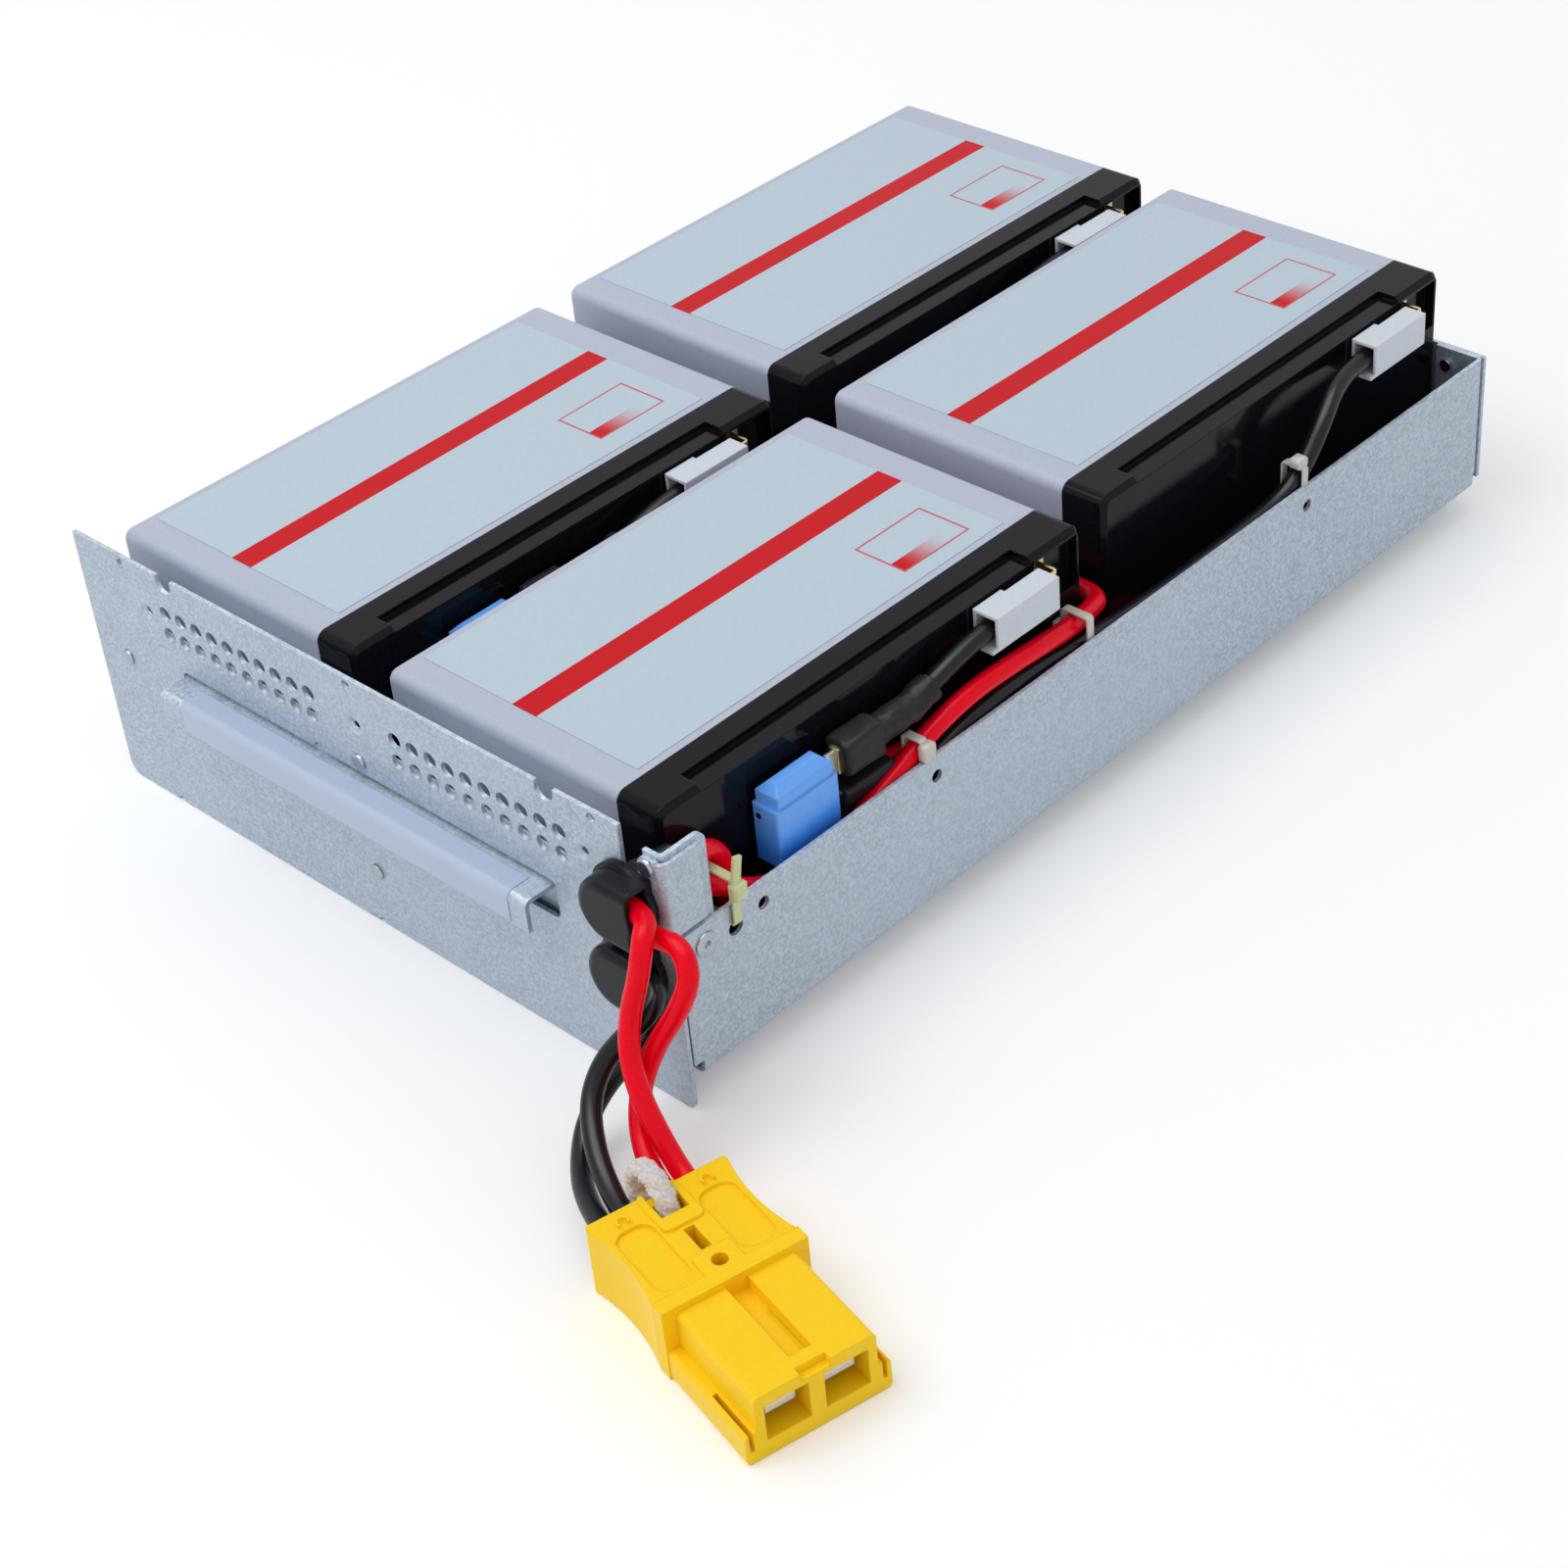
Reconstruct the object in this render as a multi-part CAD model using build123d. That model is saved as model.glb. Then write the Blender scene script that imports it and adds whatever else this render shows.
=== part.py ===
from build123d import *
from math import cos, radians, sin, tan
import os

# Battery cartridge of a rack power supply: a folded galvanised tray that slides out by its front
# panel, four sealed battery blocks lying on their sides in it, the leads and fuses between them,
# and four free leads that leave by two rubber boots and end in one flat connector.
# Millimetres. While it is built, x is centred, y is 0 at the panel's front face and grows to the
# rear, and z is 0 at the panel's lower edge. place_and_export moves y to the middle of the depth.

# Driving sizes of the sheet metal
sheet = 1.2
bend_inner = 0.8
panel_overhang = 0.8
panel_height = 77.9
tray_width = 216.8
tray_depth = 328.2
tray_lift = 7.0
wall_top = 49.3
overrun = 5.0

# The battery blocks, which lie with their lids to the right: what the gaps leave of the tray
block_thickness = 65.0
lid_reach = 13.7
skirt_reach = 6.9
front_row_y = 12.1
row_gap = 11.5
rear_gap = 0.2
left_gap = 1.45
middle_channel = 13.1
right_channel = 11.85
rear_right_shift = -2.2

# Driving sizes of the leads
lead_diameter = 5.2
arc_share = 0.45
lead_clearance = 0.15

bend_mid = bend_inner + sheet / 2
bend_outer = bend_inner + sheet
tray_half = tray_width / 2
panel_width = tray_width + 2 * panel_overhang
panel_half = panel_width / 2
wall_inner = tray_half - sheet
block_length = (tray_depth - front_row_y - row_gap - rear_gap - 2 * sheet) / 2
block_reach = (2 * wall_inner - left_gap - middle_channel - right_channel) / 2
case_reach = block_reach - lid_reach
left_column_x = left_gap - wall_inner
column_pitch = block_reach + middle_channel
row_pitch = block_length + row_gap
floor_top = tray_lift + sheet
block_top = floor_top + block_thickness
lead_radius = lead_diameter / 2
panel_back = sheet
plate_back = panel_back + sheet
front_wall_back = plate_back + sheet

# Panel: holes, notches, slot and the ear at its right end
panel_corner_left = 4.0
panel_corner_right = 2.0
keyhole_left = tray_half - 13.1
ear_left = tray_half - 7.8
ear_foot = 50.0
ear_top = 72.5
ear_corner = 2.5
ear_side_low = 50.8
ear_side_drop = 0.5
ear_side_reach = 12.0
notch_x = panel_half - 38.2
notch_radius = 3.0
notch_depth = 4.6
clear_hole_x = (20.2 - panel_half, 1.0, panel_half - 22.7)
clear_hole_drop = 2.2
clear_hole_radius = 1.4
sink_hole_x = (27.7 - panel_half, 1.5, panel_half - 27.2)
sink_hole_z = 63.8
sink_hole_radius = 1.1
sink_radius = 2.5
sink_depth = 0.8
vent_radius = 2.2
vent_pitch = 6.4
vent_columns = 10
vent_rows = 2
vent_group_x = (-44.4, 45.6)
vent_centre_z = 62.9
edge_nick_x = (22.2 - panel_half, -3.0)
edge_nick_radius = 1.3
root_hole_x = -15.9
root_hole_radius = 1.8

# Handle, folded out of a stiffening plate behind the panel
handle_left = 39.2 - panel_half
handle_right = panel_half - 40.2
handle_leg_top = 48.2
handle_reach = 9.0
handle_face_low = 39.0
handle_window_low = 28.8
slot_clearance = 1.2
slot_low = 38.0
slot_corner = 2.0
plate_left = 8.2 - panel_half
plate_right = panel_half - 29.2
plate_low = 12.0
plate_high = 57.0
sticker_thickness = 0.15
sticker_left = handle_left + 9.0
sticker_right = handle_right - 6.0
sticker_top_reach = 7.2
sticker_face_low = 39.8

# Tray: end walls, corner tabs, reliefs and the holes in its right wall
front_wall_right = tray_half - 26.4
front_wall_left = 1.4 - tray_half
front_wall_top = 56.5
tab_reach = 14.5
tab_low = 12.0
front_relief_long = 3.0
front_relief_high = 4.4
rear_relief = 3.0
floor_overlap = 20.0
wall_hole_y = (29.5, 90.5, tray_depth - 85.9)
wall_hole_z = 43.2
wall_hole_radius = 1.8
tie_hole_y = 20.1
tie_hole_z = 42.2
tie_hole_radius = 2.3

# Corner bracket and the rivets
bracket_left = tray_half - 7.0
bracket_low = 30.0
bracket_top = 73.5
bracket_reach = 15.0
bracket_corner = 3.0
rivet_shank = 1.2
rivet_head = 2.25
rivet_head_high = 0.9
rivet_tail = 1.8
rivet_tail_high = 1.0
panel_rivets_xz = ((13.0 - panel_half, 43.5), (0.7, 52.8), (-1.0, 17.5))
ear_rivet_x = tray_half - 5.0
ear_rivet_z = 70.0
ear_rivet_head = 2.45
wall_rivet_y = 10.4
wall_rivet_z = 43.5
wall_rivet_head = 3.3
wall_rivet_head_high = 0.5
wall_rivet_bore = 1.0
rear_rivet_x = tray_half - 11.4
rear_rivet_z = 44.0

# Block details
case_edge = 3.0
case_base_edge = 1.5
cap_drop = 1.6
cap_chamfer = 1.4
front_end_block = 14.0
rear_end_block = 20.0
pocket_depth = 3.0
pocket_rim = 2.2
pocket_high = 14.5
terminal_edge = 7.0
terminal_inset = 15.6
label_width = 74.7
label_length = 130.0
label_side_margin = 3.3
label_front_margin = 9.4
label_thickness = 0.2

# Terminals, crimped receptacles and the white housings
tab_thickness = 0.8
tab_width = 6.3
tab_rise = 4.6
tab_bend = 1.2
tab_length = 10.5
tab_foot = 6.0
straight_tab_rise = 6.5
housing_length = 23.5
housing_high = 9.5
housing_wide = 8.0
housing_gap = 0.65
housing_wall = 0.9
housing_step = 1.3
housing_step_share = 0.45
housing_end_gap = 4.0
housing_lip = 2.2
receptacle_thick = 2.8
receptacle_width = 7.0
receptacle_length = 11.5
barrel_length = 7.0
barrel_radius = 3.0
lower_barrel_shift = 1.95
flag_barrel_offset = 3.05
flag_inset = 1.5
crimp_clearance = 0.02

# Fuse in each channel
fuse_offset = 5.0
fuse_thick = 8.5
fuse_front = 27.9
fuse_long = 21.0
fuse_low = 44.2
fuse_high = 66.0
fuse_cap_low = 60.4
fuse_cap_inset = 0.6
fuse_cap_setback = 1.1
fuse_chamfer = 2.2
fuse_edge = 0.8
blade_long = 11.0
blade_upper_z = 60.0
blade_lower_z = 47.6
blade_show = 3.0
link_shares = (0.085, 0.04, 0.5, 0.2, 0.74, 0.12)

# Rubber boots: a disc against the panel, a flat-fronted hood open to the right, a sleeve behind
boot_x = tray_half - 12.4
boot_upper_z = 58.2
boot_pitch = 20.0
boot_hole_radius = 7.0
boot_hole_clearance = 0.2
boot_disc_radius = 9.8
boot_disc_thick = 2.0
boot_hood_radius = 8.8
boot_hood_reach = 8.6
boot_hood_right = 8.4
boot_hood_edge = 2.4
boot_mouth_wall = 1.3
boot_mouth_deep = 6.5
boot_lip_radius = 7.7
boot_lip_thick = 1.3
boot_sleeve_end_y = 11.6
boot_sleeve_end_x = 98.9
boot_sleeve_rise = 1.3
boot_sleeve_wide = 9.6
boot_sleeve_high = 15.4
boot_lead_y = -4.6
boot_lead_half_pitch = 2.7
boot_lead_start_x = tray_half - 7.9
boot_lead_straight_y = 4.0

# Connector, lying flat. Its own axes: u from the wire end to the mating end, v across, w up
plug_x = tray_half + 27.6
plug_y = -37.1
plug_heading = -13.3
plug_long = 63.0
plug_wide = 37.0
plug_high = 19.0
plug_wire_half = plug_long - 30.0
plug_collar = 4.0
plug_rim_high = 0.8
plug_mate_drop = 1.0
plug_mate_inset = 3.4
plug_waist = 2.0
plug_edge = 1.2
flange_inset = 0.3
flange_high = 8.5
flange_slot_long = 14.0
flange_slot_wide = 1.1
flange_slot_deep = 5.0
plug_socket_v = (-11.5, -5.8, 5.8, 11.5)
plug_socket_w = 9.5
plug_socket_deep = 5.0
plug_socket_radius = 2.8
plug_approach = 7.9
panel_recess = 0.9
recess_long = 21.0
recess_wide = 9.4
recess_corner = 3.5
recess_v = 10.6
recess_u = 17.0
cord_frame_long = 13.0
cord_frame_wide = 10.4
cord_frame_corner = 1.6
centre_slot_start = 14.0
centre_slot_gap = 1.0
centre_slot_wide = 2.6
centre_slot_deep = 8.0
bar_back = 4.0
bar_thick = 2.5
bar_high = 6.0
loop_pocket_long = 9.0
loop_pocket_half = 3.5
loop_pocket_floor = 5.0
tab_long = 6.5
tab_wide = 10.0
tab_corner = 1.2
tab_hole_radius = 1.9
tab_hole_deep = 8.0
key_slot_wide = 5.6
key_slot_deep = 3.4
key_slot_stop = 5.5
end_notch_wide = 7.4
end_notch_long = 2.2
end_notch_deep = 2.0
mouth_deep = 22.0
mouth_wide = 11.0
mouth_high = 10.0
mouth_v = 7.4
contact_wide = 7.6
contact_thick = 3.2
contact_long = 19.0
loop_radius = 7.5
loop_thread = 1.2
loop_u = -1.0
loop_w = 15.4

# Cable ties: each a closed strap with its head, given by the inside of its strap in x and z
strap_wide = 2.4
strap_thick = 0.6
strap_corner = 0.5
tie_head_long = 4.8
tie_head_high = 2.9
tie_head_wide = 4.4
yellow_tie_y = 20.1
yellow_tie_x = (tray_half - 9.4, tray_half + 0.6)
yellow_tie_z = (43.9, 56.3)
bundle_tie_y = 88.0
bundle_tie_x = (tray_half - 7.15, tray_half - 1.85)
bundle_tie_z = (38.4, 54.2)
gap_tie_share = 0.463
gap_tie_x = (tray_half - 10.0, tray_half - 2.2)
gap_tie_z = (42.3, 54.8)
rear_tie_x = (tray_half - 7.6, tray_half + 0.1)
rear_tie_z = (43.6, 54.2)

# Shrunk sleeve over each fuse's upper receptacle and the start of its lead
shrink_wall = 0.9
shrink_setback = 3.0
shrink_reach = 8.5

# The tray that the routes below were drawn in. A larger one moves and stretches them
drawn_half = 108.4
drawn_depth = 328.2
drawn_channel_x = 95.0

# Routes of the four free leads, from inside a boot to just before the connector's sockets
red_upper_route = [
    (100.5, -4.6, 60.9), (107.0, -4.6, 60.9), (111.4, -10.4, 60.2), (112.2, -13.6, 52.0),
    (110.2, -15.9, 42.0), (111.9, -19.4, 33.2), (117.4, -22.3, 25.6), (123.1, -23.2, 18.4),
    (129.2, -24.0, 12.2),
]
red_lower_route = [
    (100.5, -4.6, 55.5), (108.6, -4.6, 55.5), (116.6, -4.0, 56.6), (121.2, -6.4, 51.4),
    (118.7, -8.8, 42.4), (113.6, -12.8, 32.0), (112.5, -18.0, 22.2), (116.8, -23.6, 15.2),
    (124.4, -28.0, 10.8),
]
black_upper_route = [
    (100.5, -4.6, 40.9), (107.2, -4.6, 40.9), (110.4, -9.6, 38.2), (106.4, -14.6, 32.2),
    (103.3, -20.3, 26.4), (105.0, -27.1, 20.2), (112.2, -33.3, 14.6), (120.6, -37.6, 10.9),
]
black_lower_route = [
    (100.5, -4.6, 35.5), (107.0, -4.6, 35.5), (109.8, -8.2, 30.4), (104.6, -10.9, 23.4),
    (99.0, -15.9, 15.2), (99.0, -24.4, 8.4), (105.7, -33.1, 5.4), (114.9, -40.3, 6.2),
]

# Routes of the leads held in the tray, each from its boot to its terminal
right_red_route = [
    (100.9, 14.6, 61.6), (99.4, 22.0, 60.2), (98.4, 27.6, 53.2), (98.3, 28.0, 40.0),
    (98.4, 27.7, 31.0),
]
left_red_route = [
    (100.9, 14.6, 55.4), (103.5, 24.0, 48.8), (104.3, 34.0, 42.6), (104.5, 46.0, 40.6),
    (104.5, 61.5, 40.9), (104.5, 76.0, 46.5), (104.2, 81.0, 47.9), (103.9, 86.0, 49.6),
    (103.9, 94.0, 52.8), (104.2, 108.0, 56.0), (104.1, 126.0, 55.5), (103.0, 142.0, 53.2),
    (101.6, 152.0, 51.4), (99.2, 161.0, 49.9), (97.4, 166.8, 49.1), (90.6, 168.9, 48.6),
    (76.0, 168.7, 47.8), (46.0, 168.9, 46.4), (18.0, 168.7, 45.2), (3.0, 169.0, 44.4),
    (-1.6, 165.8, 43.8), (-1.7, 157.0, 42.4), (-1.6, 138.0, 40.2), (-1.6, 100.0, 38.0),
    (-1.8, 58.0, 36.6), (-4.0, 36.0, 36.0),
]
right_black_route = [
    (100.9, 14.6, 40.9), (104.3, 28.0, 38.6), (104.4, 46.0, 35.0), (104.5, 64.0, 35.2),
    (104.4, 78.0, 38.6), (103.9, 86.0, 41.4), (103.9, 98.0, 46.4), (104.2, 116.0, 49.8),
    (103.4, 134.0, 48.4), (103.3, 154.0, 45.4), (104.0, 180.0, 44.4), (104.1, 214.0, 44.8),
    (104.0, 238.0, 46.4), (104.1, 248.0, 53.4), (103.0, 257.0, 61.6), (100.4, 265.0, 65.4),
]
left_black_route = [
    (100.9, 14.6, 34.8), (104.4, 28.0, 31.0), (104.4, 50.0, 29.2), (104.3, 72.0, 29.4),
    (104.2, 104.0, 34.4), (103.8, 134.0, 37.4), (102.2, 150.0, 38.4), (99.4, 160.6, 38.7),
    (97.6, 166.6, 38.6), (91.0, 168.9, 38.4), (76.0, 168.7, 38.0), (46.0, 168.9, 37.4),
    (18.0, 168.7, 37.8), (1.6, 169.0, 38.2), (-3.5, 171.6, 38.8), (-3.8, 181.0, 39.6),
    (-3.7, 208.0, 41.4), (-3.8, 242.0, 47.0), (-4.6, 253.0, 57.0), (-7.0, 263.0, 64.4),
]


def span_box(x, y, z):
    """A box between two values on each axis."""
    size = Box(x[1] - x[0], y[1] - y[0], z[1] - z[0])
    return Pos((x[0] + x[1]) / 2, (y[0] + y[1]) / 2, (z[0] + z[1]) / 2) * size


def along_y(flat, low, high):
    """Extrude a sketch drawn in x and z between two values of y."""
    return extrude(Plane.XZ.offset(-low) * flat, amount=-(high - low))


def along_x(flat, low, high):
    """Extrude a sketch drawn in y and z between two values of x."""
    return extrude(Plane.YZ.offset(low) * flat, amount=high - low)


def along_z(flat, low, high):
    """Extrude a sketch drawn in x and y between two values of z."""
    return extrude(Plane.XY.offset(low) * flat, amount=high - low)


def folded(points, radius=bend_mid, thickness=sheet):
    """The section of a folded sheet along its middle line."""
    return trace(FilletPolyline(*points, radius=radius), line_width=thickness)


def rod_y(x, z, low, high, radius):
    """A round rod along y."""
    return along_y(Pos(x, z) * Circle(radius), low, high)


def rod_x(y, z, low, high, radius):
    """A round rod along x."""
    return along_x(Pos(y, z) * Circle(radius), low, high)


def arc_radii(points):
    """The largest arc that each corner's two runs allow."""
    corners = [Vector(*point) for point in points]
    radii = []
    for before, corner, after in zip(corners, corners[1:], corners[2:]):
        run_in = corner - before
        run_out = after - corner
        half_turn = radians(run_in.get_angle(run_out)) / 2
        radii.append(arc_share * min(run_in.length, run_out.length) / tan(half_turn))
    return radii


def fitted(route):
    """A route moved with the right wall and stretched with the tray's depth."""
    widening = tray_half - drawn_half
    stretch = tray_depth / drawn_depth
    points = []
    for x, y, z in route:
        channel_share = min(1, max(0, x / drawn_channel_x))
        points.append((x + widening * channel_share, y * stretch if y > 0 else y, z))
    return points


def lead_path(points):
    return FilletPolyline(*points, radius=arc_radii(points))


def tube(points, radius):
    """A round solid along a route of straight runs joined by tangent arcs."""
    path = lead_path(points)
    return sweep(Plane(origin=path @ 0, z_dir=path % 0) * Circle(radius), path=path)


def mirrored_x(shape):
    return mirror(shape, about=Plane.YZ)


def vent_places():
    """Centres of the round vents, group by group."""
    for group in vent_group_x:
        for row in range(vent_rows):
            for column in range(vent_columns):
                x = group + (column - (vent_columns - 1) / 2) * vent_pitch
                z = vent_centre_z + (row - (vent_rows - 1) / 2) * vent_pitch
                yield x, z


def boot_centres():
    return boot_upper_z, boot_upper_z - boot_pitch


def boot_leads(centre_z):
    """Heights of the two leads in a boot, upper first."""
    return centre_z + boot_lead_half_pitch, centre_z - boot_lead_half_pitch


def front_panel():
    half = panel_width / 2
    low_part = Pos(0, ear_foot / 2) * Rectangle(panel_width, ear_foot)
    left_width = half + keyhole_left
    high_part = Pos(keyhole_left - left_width / 2, panel_height / 2) * Rectangle(left_width, panel_height)
    flat_right = tray_half - bend_outer
    tongue = Pos((ear_left + flat_right) / 2, ear_top / 2) * Rectangle(flat_right - ear_left, ear_top)
    tongue_corner = tongue.vertices().sort_by(Axis.Y)[-2:].sort_by(Axis.X)[0]
    tongue = fillet(tongue_corner, ear_corner)
    outline = low_part + high_part + tongue
    low_corners = outline.vertices().group_by(Axis.Y)[0].sort_by(Axis.X)
    outline = fillet(low_corners[0], panel_corner_left)
    low_corners = outline.vertices().group_by(Axis.Y)[0].sort_by(Axis.X)
    outline = fillet(low_corners[-1], panel_corner_right)
    for x in (-notch_x, notch_x):
        centre_z = panel_height - notch_depth + notch_radius
        outline -= Pos(x, centre_z) * Circle(notch_radius)
        outline -= Pos(x, centre_z + overrun / 2) * Rectangle(2 * notch_radius, overrun)
    for x in clear_hole_x:
        outline -= Pos(x, panel_height - clear_hole_drop) * Circle(clear_hole_radius)
    for x in sink_hole_x:
        outline -= Pos(x, sink_hole_z) * Circle(sink_hole_radius)
    for x, z in vent_places():
        outline -= Pos(x, z) * Circle(vent_radius)
    for x in edge_nick_x:
        outline -= Pos(x, 0) * Circle(edge_nick_radius)
    for z in boot_centres():
        outline -= Pos(boot_x, z) * Circle(boot_hole_radius)
    slot_top = handle_leg_top + bend_inner + slot_clearance / 3
    slot_width = handle_right - handle_left + 2 * slot_clearance
    slot_x = (handle_left + handle_right) / 2
    slot = RectangleRounded(slot_width, slot_top - slot_low, slot_corner)
    outline -= Pos(slot_x, (slot_low + slot_top) / 2) * slot
    outline -= Pos(root_hole_x, slot_top) * Circle(root_hole_radius)
    for x, z in panel_rivets_xz + ((ear_rivet_x, ear_rivet_z),):
        outline -= Pos(x, z) * Circle(rivet_shank)
    panel = along_y(outline, 0, sheet)
    for x in sink_hole_x:
        cone = Cone(sink_radius, sink_hole_radius, sink_depth)
        panel -= Pos(x, sink_depth / 2, sink_hole_z) * Rot(-90, 0, 0) * cone
    middle = sheet / 2
    ear_x = tray_half - middle
    ear_points = ((flat_right - sheet, middle), (ear_x, middle), (ear_x, ear_side_reach))
    panel += along_z(folded(ear_points), ear_side_low, ear_top - ear_side_drop)
    return panel


def handle_plate():
    plate_x = (plate_left + plate_right) / 2
    plate_z = (plate_low + plate_high) / 2
    plate_flat = Pos(plate_x, plate_z) * Rectangle(plate_right - plate_left, plate_high - plate_low)
    window_top = handle_leg_top + bend_inner
    window_z = (handle_window_low + window_top) / 2
    handle_x = (handle_left + handle_right) / 2
    handle_width = handle_right - handle_left
    plate_flat -= Pos(handle_x, window_z) * Rectangle(handle_width, window_top - handle_window_low)
    for x, z in panel_rivets_xz:
        plate_flat -= Pos(x, z) * Circle(rivet_shank)
    plate = along_y(plate_flat, panel_back, plate_back)
    middle = sheet / 2
    leg_z = handle_leg_top - middle
    face_y = -handle_reach + middle
    strip = folded((
        (panel_back + middle, window_top + sheet),
        (panel_back + middle, leg_z),
        (face_y, leg_z),
        (face_y, handle_face_low),
    ))
    return plate + along_x(strip, handle_left, handle_right)


def handle_sticker():
    """A blank strip wrapped over the handle's top and down its face."""
    middle = sticker_thickness / 2
    top_z = handle_leg_top + middle
    face_y = -handle_reach - middle
    points = ((-handle_reach + sticker_top_reach, top_z), (face_y, top_z), (face_y, sticker_face_low))
    strip = folded(points, bend_outer + middle, sticker_thickness)
    return along_x(strip, sticker_left, sticker_right)


def tray():
    middle = sheet / 2
    side = tray_half - middle
    floor_z = tray_lift + middle
    trough_end = tray_depth - sheet - bend_outer
    trough = along_y(folded(((-side, wall_top), (-side, floor_z), (side, floor_z), (side, wall_top))),
                     plate_back, trough_end)
    relief = span_box((tray_half - front_relief_long - overrun, tray_half + overrun),
                      (plate_back - overrun, plate_back + front_relief_long),
                      (tray_lift - overrun, tray_lift + front_relief_high))
    trough -= relief
    trough -= mirrored_x(relief)
    front_strip = folded(((plate_back + middle, front_wall_top), (plate_back + middle, floor_z),
                          (plate_back + floor_overlap, floor_z)))
    front_wall = along_x(front_strip, front_wall_left, front_wall_right)
    rear_strip = folded(((tray_depth - floor_overlap, floor_z), (tray_depth - middle, floor_z),
                         (tray_depth - middle, wall_top)))
    rear_wall = along_x(rear_strip, -tray_half, tray_half)
    corner = span_box((tray_half - rear_relief, tray_half + overrun),
                      (trough_end - overrun, tray_depth + overrun),
                      (tray_lift - overrun, tray_lift + rear_relief))
    rear_wall -= corner
    rear_wall -= mirrored_x(corner)
    back_cut = span_box((tray_half - rear_relief, tray_half + overrun),
                        (tray_depth - floor_overlap - overrun, tray_depth - sheet),
                        (tray_lift - overrun, floor_top + overrun))
    rear_wall -= back_cut
    rear_wall -= mirrored_x(back_cut)
    tab_points = ((side, trough_end - overrun), (side, tray_depth - sheet - middle),
                  (side - tab_reach, tray_depth - sheet - middle))
    tab = along_z(folded(tab_points), tab_low, wall_top)
    body = trough + front_wall + rear_wall + tab + mirrored_x(tab)
    for y in wall_hole_y:
        body -= rod_x(y, wall_hole_z, wall_inner - overrun, tray_half + overrun, wall_hole_radius)
    body -= rod_x(tie_hole_y, tie_hole_z, wall_inner - overrun, tray_half + overrun, tie_hole_radius)
    body -= rod_x(wall_rivet_y, wall_rivet_z, wall_inner - overrun, tray_half + overrun, rivet_shank)
    for x, z in panel_rivets_xz:
        body -= rod_y(x, z, plate_back - overrun, front_wall_back + sheet, rivet_shank)
    for x in (-rear_rivet_x, rear_rivet_x):
        body -= rod_y(x, rear_rivet_z, tray_depth - overrun, tray_depth + overrun, rivet_shank)
    return body


def corner_bracket():
    middle = sheet / 2
    points = ((bracket_left, panel_back + middle), (wall_inner - middle, panel_back + middle),
              (wall_inner - middle, bracket_reach))
    bracket = along_z(folded(points), bracket_low, bracket_top)
    edges_across = bracket.edges().filter_by(Axis.X)
    rear_edges = edges_across.filter_by(lambda edge: edge.center().Y > bracket_reach - middle)
    bracket = fillet(rear_edges.sort_by(Axis.Z)[-1], bracket_corner)
    for z in boot_centres():
        bracket -= rod_y(boot_x, z, 0, bracket_reach, boot_lip_radius + boot_hole_clearance)
    bracket -= rod_y(ear_rivet_x, ear_rivet_z, 0, bracket_reach / 2, rivet_shank)
    bracket -= rod_x(wall_rivet_y, wall_rivet_z, wall_inner - overrun, tray_half, rivet_shank)
    return bracket


def rivet(head_radius, head_high, grip, tail_high, bore=0):
    """A rivet along +x from its head's seat, with the head on the outside."""
    shank = Cylinder(rivet_shank, grip, align=(Align.CENTER, Align.CENTER, Align.MAX))
    head_base = head_high / 3
    head = Cylinder(head_radius, head_high, align=(Align.CENTER, Align.CENTER, Align.MIN))
    rim = head.edges().sort_by(Axis.Z)[-1]
    head = fillet(rim, head_high - head_base)
    body = head + shank
    if tail_high:
        tail = Cylinder(rivet_tail, tail_high, align=(Align.CENTER, Align.CENTER, Align.MAX))
        body += Pos(0, 0, -grip) * tail
    if bore:
        hollow = Cylinder(bore, head_high, align=(Align.CENTER, Align.CENTER, Align.MAX))
        body -= Pos(0, 0, head_high) * hollow
    return body


def front_rivet(x, z, head_radius, grip):
    """A rivet whose head stands on the panel's front face."""
    return Pos(x, 0, z) * Rot(90, 0, 0) * rivet(head_radius, rivet_head_high, grip, rivet_tail_high)


def panel_rivets():
    return Compound([front_rivet(x, z, rivet_head, front_wall_back) for x, z in panel_rivets_xz])


def wall_rivet():
    body = rivet(wall_rivet_head, wall_rivet_head_high, 2 * sheet, rivet_tail_high, wall_rivet_bore)
    return Pos(tray_half, wall_rivet_y, wall_rivet_z) * Rot(0, 90, 0) * body


def rear_rivets():
    right = rivet(rivet_head, wall_rivet_head_high, 2 * sheet, rivet_tail_high)
    left = rivet(rivet_head, wall_rivet_head_high, 2 * sheet, 0)
    turn = Rot(-90, 0, 0)
    return Compound([
        Pos(rear_rivet_x, tray_depth, rear_rivet_z) * turn * right,
        Pos(-rear_rivet_x, tray_depth, rear_rivet_z) * turn * left,
    ])


def block_corner(row, column):
    """The low corner of a block: its case's left side and its front end."""
    x = left_column_x + column * column_pitch
    if row and column:
        x += rear_right_shift
    return x, front_row_y + row * row_pitch


def battery_case(x, y):
    body = span_box((x, x + case_reach), (y, y + block_length), (floor_top, block_top))
    body = fillet(body.edges().filter_by(Axis.X), case_edge)
    base_edges = body.faces().sort_by(Axis.X)[0].edges()
    return fillet(base_edges, case_base_edge)


def lid_slab(x, y, low, high):
    slab = span_box((x + low, x + high), (y, y + block_length), (floor_top, block_top))
    return fillet(slab.edges().filter_by(Axis.X), case_edge)


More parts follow.
